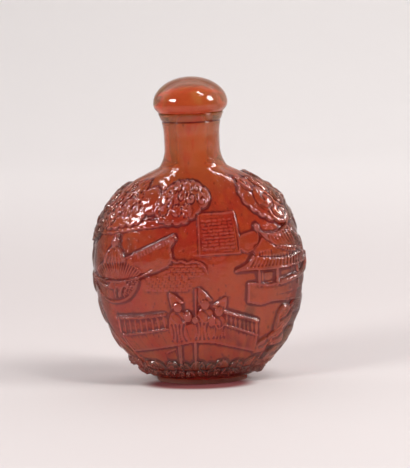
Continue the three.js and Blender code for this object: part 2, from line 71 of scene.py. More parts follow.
@dataclass(frozen=True)
class BottleForm:
    """The bottle's smooth form. Sizes are millimetres above the foot or from the axis."""

    bottle_height: float = 69.1
    half_width: float = 26.9
    half_depth: float = 12.6
    widest_height: float = 29.3
    shoulder_height: float = 55.3
    drop_width: float = 32.0
    drop_depth: float = 36.0
    shoulder_roundness: float = 2.25
    shoulder_blend: float = 3.0
    foot_half_width: float = 11.7
    foot_half_depth: float = 7.5
    foot_height: float = 1.2
    foot_undercut: float = 0.4
    foot_edge: float = 0.3
    neck_radius: float = 6.75
    neck_waist_height: float = 63.0
    neck_root_height: float = 60.0
    neck_root_flare: float = 2.6
    neck_root_drop: float = 6.0
    lip_radius: float = 8.2
    lip_edge: float = 0.3
    band_height: float = 66.9
    band_half: float = 0.18
    band_depth: float = 0.3
    lip_curve: float = 2.2
    wall: float = 3.0
    floor: float = 3.4
    mouth_radius: float = 3.6
    cavity_blend: float = 2.0
    steps_up: float = 55.3
    girth_angles: int = 720

    def body_half(self, z: Array, half: float, drop: float, roundness: float) -> Array:
        """Half size of the flattened round body alone.

        Args:
            z: Heights.
            half: Half size at the widest height.
            drop: Height over which it would close below the widest height.
            roundness: Power of the curve above the widest height.

        Returns:
            The half size at each height.
        """
        below = z < self.widest_height
        rise = self.shoulder_height - self.widest_height
        share = np.where(below, (self.widest_height - z) / drop, (z - self.widest_height) / rise)
        power = np.where(below, 2.0, roundness)
        return half * (1 - np.clip(share, 0, 1) ** power) ** (1 / power)

    def neck_share(self, z: Array) -> Array:
        """How far the neck takes part at each height: not at all low down, wholly above the shoulders."""
        start = (self.widest_height + self.shoulder_height) / 2
        return smooth_step((z - start) / (self.shoulder_height - start))

    def outside(self, z: Array) -> tuple[Array, Array]:
        """Half width and half depth of the outside.

        Args:
            z: Heights.

        Returns:
            The half widths and the half depths.
        """
        width = self.body_half(z, self.half_width, self.drop_width, self.shoulder_roundness)
        depth = self.body_half(z, self.half_depth, self.drop_depth, 2.0)
        reach = self.bottle_height - self.neck_waist_height
        flare = np.clip((z - self.neck_waist_height) / reach, 0, None) ** self.lip_curve
        neck = self.neck_radius + (self.lip_radius - self.neck_radius) * flare
        spread = np.clip((self.neck_root_height - z) / self.neck_root_drop, 0, 1) ** 2 * self.neck_root_flare
        share = self.neck_share(z)
        wide = smooth_max(width, neck + spread, self.shoulder_blend)
        deep = smooth_max(depth, neck, self.shoulder_blend)
        return width + share * (wide - width), depth + share * (deep - depth)

    def inside(self, z: Array) -> tuple[Array, Array]:
        """Half width and half depth of the hollow.

        Args:
            z: Heights.

        Returns:
            The half widths and the half depths.
        """
        width = self.body_half(z, self.half_width, self.drop_width, self.shoulder_roundness) - self.wall
        depth = self.body_half(z, self.half_depth, self.drop_depth, 2.0) - self.wall
        blend = self.cavity_blend * self.neck_share(z)
        return smooth_max(width, self.mouth_radius, blend), smooth_max(depth, self.mouth_radius, blend)

    def turn_at(self, around: Array) -> Array:
        """Angle round the bottle at each place, by equal lengths of the widest section.

        Args:
            around: Places in carving steps.

        Returns:
            Angles from the middle of the front.
        """
        angles = np.linspace(0, math.pi, self.girth_angles + 1)
        middles = (angles[1:] + angles[:-1]) / 2
        strides = np.hypot(self.half_width * np.cos(middles), self.half_depth * np.sin(middles))
        girth = np.concatenate([[0.0], np.cumsum(strides)])
        wrapped = around - LAP * np.round(around / LAP)
        return np.sign(wrapped) * np.interp(np.abs(wrapped) / (LAP / 2) * girth[-1], girth, angles)

    def surface(self, around: Array, up: Array) -> Array:
        """Points of the smooth outside.

        Args:
            around: Places round the bottle, in carving steps.
            up: Places up the bottle, in carving steps.

        Returns:
            One point for each pair of places.
        """
        z = up / self.steps_up * self.shoulder_height
        width, depth = self.outside(z)
        turn = self.turn_at(around)
        return np.stack([width * np.sin(turn), -depth * np.cos(turn), z], -1)

    def outward(self, around: Array, up: Array) -> Array:
        """Outward directions of the smooth outside.

        Args:
            around: Places round the bottle, in carving steps.
            up: Places up the bottle, in carving steps.

        Returns:
            One direction of length 1 for each pair of places.
        """
        tiny = 0.02
        sideways = self.surface(around + tiny, up) - self.surface(around - tiny, up)
        rise = self.surface(around, up + tiny) - self.surface(around, up - tiny)
        normal = np.cross(sideways, rise)
        return normal / np.linalg.norm(normal, axis=-1, keepdims=True)


def smooth_max(first: Array, second: Array | float, blend: Array | float) -> Array:
    """Larger of two values, rounded over the blend length where they meet."""
    return (first + second + np.hypot(first - second, blend)) / 2


def smooth_step(share: Array) -> Array:
    """Eased share between 0 and 1."""
    held = np.clip(share, 0, 1)
    return held * held * (3 - 2 * held)


def between(start: Place, end: Place, share: float) -> Place:
    """Place at a share of the way from one place to another."""
    return start[0] + (end[0] - start[0]) * share, start[1] + (end[1] - start[1]) * share


def along(path: Path, share: float) -> Place:
    """Place on a path.

    Args:
        path: The path.
        share: Share of its length.

    Returns:
        The place at that share.
    """
    points = np.asarray(path, float)
    lengths = np.concatenate([[0.0], np.cumsum(np.linalg.norm(np.diff(points, axis=0), axis=1))])
    target = share * lengths[-1]
    return float(np.interp(target, lengths, points[:, 0])), float(np.interp(target, lengths, points[:, 1]))


def smoothed(path: Path, closed: bool = True, steps: int = 5) -> list[Place]:
    """Curve through the corners of a path.

    Args:
        path: The corners.
        closed: Whether the last corner leads back to the first.
        steps: Points made between two corners.

    Returns:
        The points of a Catmull-Rom curve.
    """
    points = np.asarray(path, float)
    count = len(points)
    spans = count if closed else count - 1
    result: list[Place] = []
    for index in range(spans):
        picks = [index - 1, index, index + 1, index + 2]
        if closed:
            a, b, c, d = (points[pick % count] for pick in picks)
        else:
            a, b, c, d = (points[min(max(pick, 0), count - 1)] for pick in picks)
        for step in range(steps):
            t = step / steps
            point = b + 0.5 * t * (c - a + t * (2 * a - 5 * b + 4 * c - d + t * (3 * (b - c) + d - a)))
            result.append((float(point[0]), float(point[1])))
    if not closed:
        result.append((float(points[-1][0]), float(points[-1][1])))
    return result


def scalloped(path: Path, bulge: float = 0.16, steps: int = 6) -> list[Place]:
    """Closed outline whose sides each bulge outwards.

    Args:
        path: Its corners, clockwise as seen from outside.
        bulge: How far each side bulges, as a share of its length.
        steps: Points made for each side.

    Returns:
        The points of the outline.
    """
    result: list[Place] = []
    for start, end in zip(path, list(path[1:]) + [path[0]]):
        side = (end[0] - start[0], end[1] - start[1])
        for step in range(steps):
            share = step / steps
            swell = bulge * 4 * share * (1 - share)
            result.append((start[0] + side[0] * share - side[1] * swell,
                           start[1] + side[1] * share + side[0] * swell))
    return result


def lobed(path: Path, lobe: float = 2.3, bulge: float = 0.3) -> list[Place]:
    """Closed outline broken into small lobes of about one length.

    Args:
        path: Its corners, clockwise as seen from outside.
        lobe: Length of a lobe.
        bulge: How far each lobe bulges, as a share of its length.

    Returns:
        The points of the outline.
    """
    whole = scalloped(path)
    closed = whole + [whole[0]]
    lengths = np.linalg.norm(np.diff(np.asarray(closed), axis=0), axis=1)
    count = max(5, round(float(lengths.sum()) / lobe))
    return scalloped([along(closed, index / count) for index in range(count)], bulge, 5)


def arc(centre: Place, radius: float, start: float, end: float, count: int = 12,
        flat: float = 1.0) -> list[Place]:
    """Points of an arc between two angles in degrees; flat is its height as a share of a circle's."""
    turns = np.radians(np.linspace(start, end, count + 1))
    return [(centre[0] + radius * math.cos(turn), centre[1] + radius * flat * math.sin(turn))
            for turn in turns]


@dataclass
class Strokes:
    """Seeds of the short carved strokes: place, direction, length, bend, height and half width."""

    seeds: list[tuple[float, ...]] = field(default_factory=list)

    def add(self, start: Place, end: Place, height: float, breadth: float = 0.2, bend: float = 0.0) -> None:
        """Adds one stroke.

        Args:
            start: Where it starts.
            end: Where it ends.
            height: Its height, negative where it is cut in.
            breadth: Its half width.
            bend: Its sideways swell as a share of its length.
        """
        run, rise = end[0] - start[0], end[1] - start[1]
        shift = LAP * round((start[0] + end[0]) / 2 / LAP)
        self.seeds.append((start[0] - shift, start[1], math.atan2(rise, run), math.hypot(run, rise),
                           bend, height, breadth))

    def across(self, first: Path, second: Path, count: int, height: float,
               breadth: float = 0.2, bend: float = 0.0, ends: float = 0.0) -> None:
        """Adds strokes that join two paths at equal shares.

        Args:
            first: The path that the strokes start on.
            second: The path that they end on.
            count: Number of strokes.
            height: Height of each, negative where it is cut in.
            breadth: Half width of each.
            bend: Sideways swell as a share of the length.
            ends: Share of the way that stays free at both ends of a stroke.
        """
        for index in range(count):
            share = (index + 0.5) / count
            start, end = along(first, share), along(second, share)
            self.add(between(start, end, ends), between(start, end, 1 - ends), height, breadth, bend)

    def fan(self, centre: Place, radius: float, turns: Span, count: int, height: float,
            breadth: float = 0.17, inner: float = 0.25) -> None:
        """Adds strokes that spread from a centre.

        Args:
            centre: The centre.
            radius: Distance from it at which the strokes end.
            turns: The first and the last angle, in degrees.
            count: Number of strokes.
            height: Height of each, negative where it is cut in.
            breadth: Half width of each.
            inner: Share of the radius at which they start.
        """
        for index in range(count):
            turn = math.radians(turns[0] + (turns[1] - turns[0]) * (index + 0.5) / count)
            ray = (math.cos(turn), math.sin(turn))
            self.add((centre[0] + ray[0] * radius * inner, centre[1] + ray[1] * radius * inner),
                     (centre[0] + ray[0] * radius, centre[1] + ray[1] * radius), height, breadth)

    def rows(self, low_left: Place, high_right: Place, rows: int, dash: float, gap: float, height: float,
             breadth: float = 0.17) -> None:
        """Adds rows of dashes that fill a rectangle, each row shifted against the last.

        Args:
            low_left: Lower left corner of the rectangle.
            high_right: Upper right corner of the rectangle.
            rows: Number of rows.
            dash: Length of a dash.
            gap: Length of the gap after it.
            height: Height of each dash.
            breadth: Half width of each dash.
        """
        golden_share = 0.618
        for row in range(rows):
            up = low_left[1] + (high_right[1] - low_left[1]) * (row + 0.5) / rows
            around = low_left[0] + (row * golden_share % 1) * (dash + gap)
            while around + dash <= high_right[0]:
                self.add((around, up), (around + dash, up), height, breadth)
                around += dash + gap


class Relief:
    """Height of the carving over the smooth body, on a grid of places round it and up it."""

    def __init__(self, around: Array, up: Array) -> None:
        """Starts flat.

        Args:
            around: Places of the columns, from left to right.
            up: Places of the rows, from the foot up.
        """
        self.around = around
        self.up = up
        self.height = np.zeros((len(up), len(around)))

    def _windows(self, points: Array, margin: float) -> list[Window]:
        """Finds the parts of the grid that a shape can reach, also across the seam at the back.

        Args:
            points: Corners of the shape.
            margin: How far it reaches past them.

        Returns:
            The rows, the columns and the two places of each point, for each part.
        """
        low, high = points.min(0) - margin, points.max(0) + margin
        rows = slice(int(np.searchsorted(self.up, low[1])), int(np.searchsorted(self.up, high[1])))
        found = []
        for shift in (-LAP, 0.0, LAP):
            first = int(np.searchsorted(self.around, low[0] - shift))
            last = int(np.searchsorted(self.around, high[0] - shift))
            if last > first and rows.stop > rows.start:
                columns = slice(first, last)
                grid = np.meshgrid(self.around[columns] + shift, self.up[rows])
                found.append((rows, columns, grid[0], grid[1]))
        return found

    def _meet(self, rows: slice, columns: slice, raised: Array, meeting: Meeting) -> None:
        """Joins a shape with the carving in a part of the grid.

        Args:
            rows: Rows of the part.
            columns: Columns of the part.
            raised: Height of the shape at each point of the part.
            meeting: How it meets what is carved already.
        """
        area = self.height[rows, columns]
        if meeting is Meeting.OVER:
            self.height[rows, columns] = np.maximum(area, raised)
        else:
            self.height[rows, columns] = area - raised

    @staticmethod
    def to_path(points: Array, around: Array, up: Array, closed: bool) -> tuple[Array, Array]:
        """Measures how places lie to a path.

        Args:
            points: Corners of the path.
            around: Places round the bottle.
            up: Places up the bottle.
            closed: Whether the last corner leads back to the first.

        Returns:
            The distance of each place, and whether it is inside.
        """
        nearest = np.full(around.shape, 1e9)
        inside = np.zeros(around.shape, bool)
        count = len(points)
        for index in range(count if closed else count - 1):
            (x0, y0), (x1, y1) = points[index], points[(index + 1) % count]
            dx, dy = x1 - x0, y1 - y0
            share = np.clip(((around - x0) * dx + (up - y0) * dy) / max(dx * dx + dy * dy, 1e-12), 0, 1)
            nearest = np.minimum(nearest, np.hypot(around - x0 - share * dx, up - y0 - share * dy))
            if closed and y0 != y1:
                crosses = (y0 > up) != (y1 > up)
                inside ^= crosses & (around < x0 + (up - y0) / (y1 - y0) * dx)
        return nearest, inside

    def mass(self, outline: Path, height: float, soft: float = 0.45, pillow: float = 0.0,
             pillow_reach: float = 1.6, meeting: Meeting = Meeting.OVER) -> None:
        """Raises the area inside an outline.

        Args:
            outline: Corners of the area.
            height: Height at its edge.
            soft: Width of the sloping edge.
            pillow: Extra height that it gains away from its edge.
            pillow_reach: Distance over which it gains that.
            meeting: How it meets what is carved already.
        """
        points = np.asarray(outline, float)
        for rows, columns, around, up in self._windows(points, soft):
            distance, inside = self.to_path(points, around, up, True)
            signed = np.where(inside, distance, -distance)
            swell = pillow * (1 - np.exp(-np.clip(signed, 0, None) / pillow_reach))
            self._meet(rows, columns, smooth_step(signed / soft + 0.5) * (height + swell), meeting)

    def dome(self, centre: Place, radius: float, base: float, swell: float, flat: float = 1.0) -> None:
        """Raises a round lump.

        Args:
            centre: Its centre.
            radius: Its radius.
            base: Height that it stands on.
            swell: Height of its middle above that.
            flat: Its extent upwards as a share of the radius.
        """
        middle = np.asarray(centre)
        points = np.stack([middle - radius, middle + radius])
        for rows, columns, around, up in self._windows(points, 0.4):
            share = np.hypot(around - centre[0], (up - centre[1]) / flat) / radius
            lump = base + swell * np.sqrt(np.clip(1 - share ** 2, 0, None))
            self._meet(rows, columns, lump * smooth_step((1.08 - share) * 6), Meeting.OVER)

    def ridge(self, path: Path, width: float, height: float, soft: float = 0.3,
              meeting: Meeting = Meeting.OVER, closed: bool = False) -> None:
        """Raises or cuts a line of one width along a path.

        Args:
            path: The path.
            width: Width of the line.
            height: Its height, or its depth where it is cut.
            soft: Width of its sloping edge.
            meeting: How it meets what is carved already.
            closed: Whether the path runs back to its start.
        """
        points = np.asarray(path, float)
        for rows, columns, around, up in self._windows(points, width / 2 + soft):
            distance, _ = self.to_path(points, around, up, closed)
            self._meet(rows, columns, height * smooth_step((width / 2 + soft / 2 - distance) / soft), meeting)


class Motif(Protocol):
    """Any part of the landscape."""

    def carve(self, relief: Relief, strokes: Strokes) -> None:
        """Carves it into the relief and adds its fine lines to the strokes."""


@dataclass
class Crown:
    """Pine crown or bank of cloud: a lobed mass filled with rosettes of needles and with curls."""

    corners: Path
    tuft: float = 1.9
    height: float = 0.65
    swell: float = 0.5
    needles: int = 6
    seed: int = 1
    curled: float = 0.35
    rim: float = 0.28
    pitch: float = 1.7
    row_pitch: float = 0.86
    looseness: float = 0.34
    sizes: Span = (0.62, 1.2)
    curl_steps: int = 7
    curl_turn: float = 52.0

    def carve(self, relief: Relief, strokes: Strokes) -> None:
        """Carves the mass, its tufts and their strokes.

        Args:
            relief: Takes the shapes.
            strokes: Takes the fine lines.
        """
        outline = lobed(self.corners)
        relief.mass(outline, self.height, 0.4, 0.1)
        relief.ridge(outline, 0.3, self.height + self.rim, 0.35, closed=True)
        points = np.asarray(outline)
        low, high = points.min(0), points.max(0)
        generator = np.random.default_rng(self.seed)
        pitch = self.tuft * self.pitch
        for row in range(int((high[1] - low[1]) / (pitch * self.row_pitch)) + 1):
            for column in range(int((high[0] - low[0]) / pitch) + 2):
                shift = generator.uniform(-self.looseness, self.looseness, 2) * self.tuft
                radius = self.tuft * generator.uniform(*self.sizes)
                turn, kind = generator.uniform(0, 360), generator.uniform()
                centre = (low[0] + (column + 0.5 * (row % 2)) * pitch + shift[0],
                          high[1] - 0.7 * self.tuft - row * pitch * self.row_pitch + shift[1])
                spot = (np.array([[centre[0]]]), np.array([[centre[1]]]))
                distance, inside = relief.to_path(points, *spot, True)
                if not inside[0, 0] or distance[0, 0] <= 0.45 * radius:
                    continue
                relief.dome(centre, radius, self.height, self.swell)
                if kind < self.curled:
                    self._curl(strokes, centre, radius, turn)
                else:
                    strokes.fan(centre, radius * 1.02, (turn, turn + 250), self.needles, -0.2, 0.11, 0.34)

    def _curl(self, strokes: Strokes, centre: Place, radius: float, turn: float) -> None:
        """Cuts one curl into a tuft.

        Args:
            strokes: Takes the cuts.
            centre: Centre of the tuft.
            radius: Its radius.
            turn: Angle at which the curl starts, in degrees.
        """
        for step in range(self.curl_steps):
            reach = radius * (0.82 - 0.1 * step)
            start, end = (math.radians(turn + self.curl_turn * (step + share)) for share in (0, 1))
            strokes.add((centre[0] + reach * math.cos(start), centre[1] + reach * math.sin(start)),
                        (centre[0] + reach * 0.9 * math.cos(end), centre[1] + reach * 0.9 * math.sin(end)),
                        -0.26, 0.13, -0.12)


@dataclass
class Knoll:
    """Smooth rounded mass with a raised rim."""

    corners: Path
    height: float = 0.55
    rim: float = 0.3

    def carve(self, relief: Relief, strokes: Strokes) -> None:
        """Carves the mass and its rim.

        Args:
            relief: Takes the shapes.
            strokes: Stays as it is.
        """
        outline = smoothed(self.corners)
        relief.mass(outline, self.height, 0.4, 0.3, 2.0)
        relief.ridge(outline, 0.24, self.height + self.rim, 0.3, closed=True)


@dataclass
class FramedPanel:
    """Panel with a double frame and rows of short strokes, leaning a little to the left."""

    left: float = 2.4
    right: float = 12.9
    low: float = 34.0
    high: float = 44.4
    lean: float = 0.3
    rows: int = 9
    columns: int = 6
    seed: int = 12

    def rectangle(self, inset: float) -> list[Place]:
        """Corners of the panel, moved in by a margin."""
        return [(self.left + inset, self.low + inset), (self.right - inset, self.low + inset + self.lean),
                (self.right - inset, self.high - inset), (self.left + inset, self.high - inset - self.lean)]

    def carve(self, relief: Relief, strokes: Strokes) -> None:
        """Carves the ground, the two frames and the strokes.

        Args:
            relief: Takes the shapes.
            strokes: Takes the fine lines.
        """
        relief.mass(self.rectangle(0), 0.16, 0.5)
        relief.ridge(self.rectangle(0.12), 0.24, 0.5, 0.28, closed=True)
        relief.ridge(self.rectangle(0.85), 0.12, 0.34, 0.24, closed=True)
        low_left, low_right, high_right, high_left = self.rectangle(1.7)
        generator = np.random.default_rng(self.seed)
        for row in range(self.rows):
            rise = row / (self.rows - 1)
            left, right = between(low_left, high_left, rise), between(low_right, high_right, rise)
            for column in range(self.columns):
                place = between(left, right, (column + generator.uniform(-0.12, 0.12)) / (self.columns - 1))
                reach, tip = generator.uniform(0.3, 0.52), generator.uniform(-0.12, 0.12)
                start, end = (place[0] - reach, place[1] - tip), (place[0] + reach, place[1] + tip)
                strokes.add(start, end, 0.17, 0.11)


@dataclass
class Boat:
    """Boat with a tall curved prow, a reed shelter and its boatman."""

    prow: Path = ((-16.6, 33.2), (-13.4, 34.9), (-10.2, 36.0), (-6.6, 37.8), (-4.2, 38.7), (-4.0, 37.6),
                  (-5.0, 35.8), (-4.7, 33.4), (-5.9, 31.6), (-10.7, 29.7), (-14.4, 30.6), (-16.8, 31.8))
    prow_edge: Path = ((-17.2, 33.2), (-10.2, 36.3), (-4.0, 39.1), (-3.5, 38.2))
    prow_cuts: Pair = (((-14.0, 34.5), (-4.8, 38.5)), ((-13.6, 33.8), (-4.6, 37.7)))
    shelter: Path = ((-25.6, 28.4), (-25.4, 31.0), (-22.0, 32.5), (-17.0, 32.5), (-12.6, 30.7),
                     (-13.8, 28.9), (-18.0, 27.9))
    reeds_from: Place = (-19.2, 24.0)
    gunwale: Path = ((-28.4, 28.7), (-25.0, 27.6), (-21.8, 27.2), (-17.2, 27.6), (-13.0, 28.8), (-9.4, 30.5))
    keel: Path = ((-27.4, 24.6), (-24.6, 22.4), (-21.8, 21.6), (-17.6, 22.6), (-14.8, 25.0), (-13.4, 28.2))
    plank_ends: Pair = (((-28.0, 27.6), (-24.8, 22.9)), ((-13.4, 28.9), (-17.0, 23.8)))
    plank_tip: Place = (-12.0, 29.4)
    planks: int = 8
    robe: Path = ((-23.2, 31.8), (-22.8, 34.4), (-21.6, 35.9), (-20.3, 36.2), (-19.0, 35.9), (-17.9, 34.4),
                  (-16.9, 32.4))
    robe_folds: Pair = (((-21.8, 35.6), (-18.8, 35.6)), ((-22.6, 32.2), (-17.6, 32.6)))
    head: Place = (-20.3, 37.2)
    topknot: Place = (-20.2, 38.7)
    arm: Path = ((-21.6, 34.4), (-19.4, 33.6), (-17.0, 33.3))

    def carve(self, relief: Relief, strokes: Strokes) -> None:
        """Carves the hull, the shelter, the prow and the boatman.

        Args:
            relief: Takes the shapes.
            strokes: Takes the fine lines.
        """
        hull = smoothed(list(self.gunwale[:-1]) + list(reversed(self.keel)))
        relief.mass(hull, 0.5, pillow=0.2)
        for index in range(self.planks):
            share = (index + 0.5) / self.planks
            start, end = (between(*edge, share) for edge in self.plank_ends)
            strokes.add(start, end, -0.34, 0.12, -0.2 + 0.06 * share)
            strokes.add(between(start, end, 0.55), between(end, self.plank_tip, 0.3), 0.22, 0.1, -0.1)
        relief.mass(smoothed(self.shelter), 0.75, pillow=0.3)
        strokes.fan(self.reeds_from, 8.4, (32, 152), 22, -0.3, 0.11, 0.5)
        relief.mass(smoothed(self.prow), 0.62, pillow=0.3, pillow_reach=2.4)
        relief.ridge(smoothed(self.prow[6:], False), 0.22, 0.95, 0.3)
        relief.ridge(self.prow_edge, 0.28, 1.1, 0.3)
        strokes.across(*self.prow_cuts, 11, 0.24, 0.12, 0.1)
        relief.ridge(smoothed(self.gunwale, False), 0.36, 1.15, 0.3)
        relief.mass(smoothed(self.robe), 0.95, pillow=0.35)
        strokes.across(*self.robe_folds, 5, -0.2, 0.16, 0.05)
        relief.dome(self.head, 1.15, 0.8, 0.55, 1.15)
        relief.dome(self.topknot, 0.65, 0.8, 0.4)
        relief.ridge(self.arm, 0.45, 1.25, 0.35)


@dataclass
class Pavilion:
    """Waterside pavilion on its terrace."""

    roof: Path = ((17.9, 39.7), (19.0, 38.5), (22.3, 38.1), (26.8, 40.2), (28.8, 38.3), (30.8, 35.6),
                  (29.6, 34.2), (25.9, 33.8), (22.2, 35.3), (19.6, 37.2))
    ridge_line: Path = ((17.6, 40.4), (18.2, 39.4), (19.4, 38.6), (22.3, 38.3), (24.8, 39.2), (27.0, 40.6))
    roof_edge: Path = ((22.2, 35.2), (25.9, 33.7), (29.7, 34.1), (30.8, 35.6))
    roof_tiles: Pair = (((20.0, 38.0), (27.6, 39.4)), ((21.6, 35.6), (29.8, 34.6)))
    finial: Place = (18.0, 40.2)
    gable: Path = ((16.3, 34.4), (18.9, 37.8), (22.2, 35.0), (25.9, 33.9), (29.8, 34.2), (29.2, 31.0),
                   (16.3, 31.4))
    gable_edge: Path = ((16.3, 34.5), (18.9, 37.5), (22.2, 34.9))
    gable_slats: Pair = (((17.2, 34.0), (21.0, 34.4)), ((17.2, 32.4), (21.0, 32.4)))
    leaf: Path = ((13.0, 38.2), (15.8, 39.2), (18.0, 39.4), (17.7, 37.2), (16.4, 35.2), (14.5, 34.4),
                  (13.0, 35.4))
    eave: Path = ((11.8, 29.9), (14.4, 31.1), (15.9, 33.2), (20.0, 32.6), (25.0, 32.4), (30.4, 33.6),
                  (30.8, 30.7), (27.9, 30.1), (22.5, 29.7), (17.8, 29.7))
    eave_edge: Path = ((11.4, 29.7), (14.8, 30.3), (17.8, 29.8), (22.5, 29.8), (27.9, 30.2), (30.8, 30.9))
    eave_tip: Path = ((11.6, 29.9), (14.3, 31.3), (15.9, 33.3))
    eave_tiles: Pair = (((15.9, 32.8), (30.2, 33.0)), ((14.6, 30.6), (30.4, 31.1)))
    wall: Path = ((17.4, 29.9), (28.4, 30.2), (28.4, 26.6), (17.4, 25.6))
    openings: Sequence[Span] = ((18.3, 21.2), (22.8, 26.8))
    posts: Sequence[tuple[float, float]] = ((17.2, 0.8), (21.9, 1.0), (28.0, 0.9))
    post_top: float = 30.2
    post_foot: float = 25.6
    terrace: Path = ((14.5, 26.5), (19.8, 25.7), (24.0, 26.2), (30.2, 28.2), (31.0, 26.4), (30.6, 21.4),
                     (20.6, 21.5), (18.0, 20.9), (14.5, 21.7))
    terrace_top: Path = ((14.5, 21.8), (14.5, 26.5), (19.8, 25.7), (24.0, 26.2), (30.6, 28.4))
    terrace_course: Path = ((15.6, 25.2), (19.8, 24.6), (24.0, 25.0), (30.6, 27.0))
    terrace_foot: Path = ((14.5, 21.7), (18.0, 20.9), (20.6, 21.5), (30.6, 21.6))
    terrace_corner: Path = ((15.8, 22.8), (15.8, 25.0))
    terrace_joint: Path = ((22.6, 23.0), (30.4, 24.2))
    rising_edge: Path = ((23.0, 26.2), (28.0, 27.4), (31.4, 29.4), (33.4, 32.2))

    def carve(self, relief: Relief, strokes: Strokes) -> None:
        """Carves the leaf, the gable, the roofs, the walls and the terrace, the nearest last.

        Args:
            relief: Takes the shapes.
            strokes: Takes the fine lines.
        """
        relief.mass(smoothed(self.leaf), 0.4, pillow=0.25)
        relief.ridge(smoothed(self.leaf[2:], False), 0.2, 0.85, 0.3)
        relief.mass(self.gable, 0.55, pillow=0.1)
        relief.ridge(self.gable_edge, 0.25, 0.85, 0.3)
        strokes.across(*self.gable_slats, 5, -0.15, 0.15)
        relief.mass(self.roof, 0.85, pillow=0.25)
        relief.ridge(smoothed(self.ridge_line, False), 0.36, 1.3, 0.3)
        relief.ridge(self.roof_edge, 0.26, 1.2, 0.3)
        strokes.across(*self.roof_tiles, 9, -0.24, 0.18, -0.12)
        relief.dome(self.finial, 0.75, 0.7, 0.55, 1.3)
        relief.mass(self.wall, 0.22)
        for left, right in self.openings:
            opening = [(left, 29.4), (right, 29.6), (right, 26.8), (left, 26.4)]
            relief.mass(opening, 0.5, 0.3, meeting=Meeting.CUT)
        for around, width in self.posts:
            relief.ridge([(around, self.post_top), (around, self.post_foot)], width * 0.7, 0.85, 0.3)
        relief.mass(smoothed(self.eave, steps=3), 0.85, pillow=0.25)
        relief.ridge(self.eave_edge, 0.3, 1.25, 0.3)
        relief.ridge(smoothed(self.eave_tip, False), 0.3, 1.25, 0.3)
        strokes.across(*self.eave_tiles, 17, -0.22, 0.17, 0.05)
        relief.mass(self.terrace, 0.6)
        relief.ridge(self.terrace_top, 0.34, 1.15, 0.3)
        relief.ridge(self.terrace_course, 0.2, 0.82, 0.3)
        relief.ridge(self.terrace_foot, 0.24, 0.95, 0.3)
        relief.ridge(self.terrace_corner, 0.14, 0.8, 0.3)
        relief.ridge(self.terrace_joint, 0.16, 0.22, 0.5, Meeting.CUT)
        relief.ridge(smoothed(self.rising_edge, False), 1.3, 1.15, 0.6)


@dataclass
class Walker:
    """Walker in a long robe and a tilted cone hat, with no features of a face."""

    foot: Place
    head: Place
    apex: Place
    half: float = 2.4
    bundle: float = 0.0
    brim: float = 1.7

    def carve(self, relief: Relief, strokes: Strokes) -> None:
        """Carves the robe and its folds, the sleeve, the head and the hat.

        Args:
            relief: Takes the shapes.
            strokes: Takes the fine lines.
        """
        (around, low), (over, neck) = self.foot, (self.head[0], self.head[1] - 1.1)
        half, waist = self.half, (self.foot[1] * 0.45 + neck * 0.55)
        robe = [(around - half, low), (around + half, low), (around + half * 0.9, waist),
                (over + half * 0.78, neck - 1.1), (over + half * 0.2, neck + 0.3),
                (over - half * 0.4, neck + 0.2), (over - half * 0.85, neck - 1.3),
                (around - half * 0.8, waist)]
        relief.mass(smoothed(robe, steps=4), 0.4, 0.5, 0.5, 1.4)
        for share, bend in ((0.16, 0.12), (0.38, 0.05), (0.62, -0.06), (0.86, -0.14)):
            start = between(robe[7], robe[2], share)
            strokes.add(start, between(robe[0], robe[1], share), -0.24, 0.2, bend)
        sleeve = [(over - half * 0.7, neck - 1.5), (over, neck - 3.4), (over + half * 0.8, neck - 2.2)]
        relief.ridge(smoothed(sleeve, False), 0.5, 1.0, 0.5)
        strokes.add((over - half * 0.2, neck - 0.4), (over + half * 0.35, neck - 2.2), -0.22, 0.14, 0.1)
        if self.bundle:
            relief.dome((over + self.bundle, neck - 1.4), 1.1, 0.6, 0.5, 1.2)
        relief.dome(self.head, 1.15, 0.55, 0.6, 1.1)
        tilt = math.atan2(self.apex[1] - self.head[1], self.apex[0] - self.head[0])
        reach = (self.brim * math.sin(tilt), self.brim * math.cos(tilt))
        brim = [(self.head[0] + side * reach[0], self.head[1] + 0.5 - side * reach[1]) for side in (-1, 1)]
        bowed = between(between(brim[0], brim[1], 0.5), self.head, -0.4)
        relief.mass(smoothed([brim[0], self.apex, brim[1], bowed], steps=4), 0.45, 0.5, 0.4)
        relief.ridge([between(brim[1], self.apex, 0.1), self.apex], 0.12, 1.1, 0.3)
        relief.ridge(smoothed([brim[0], bowed, brim[1]], False), 0.2, 1.15, 0.3)
        away = math.degrees(tilt) + 180
        strokes.fan(self.apex, 3.6, (away - 20, away + 20), 3, -0.16, 0.1, 0.35)


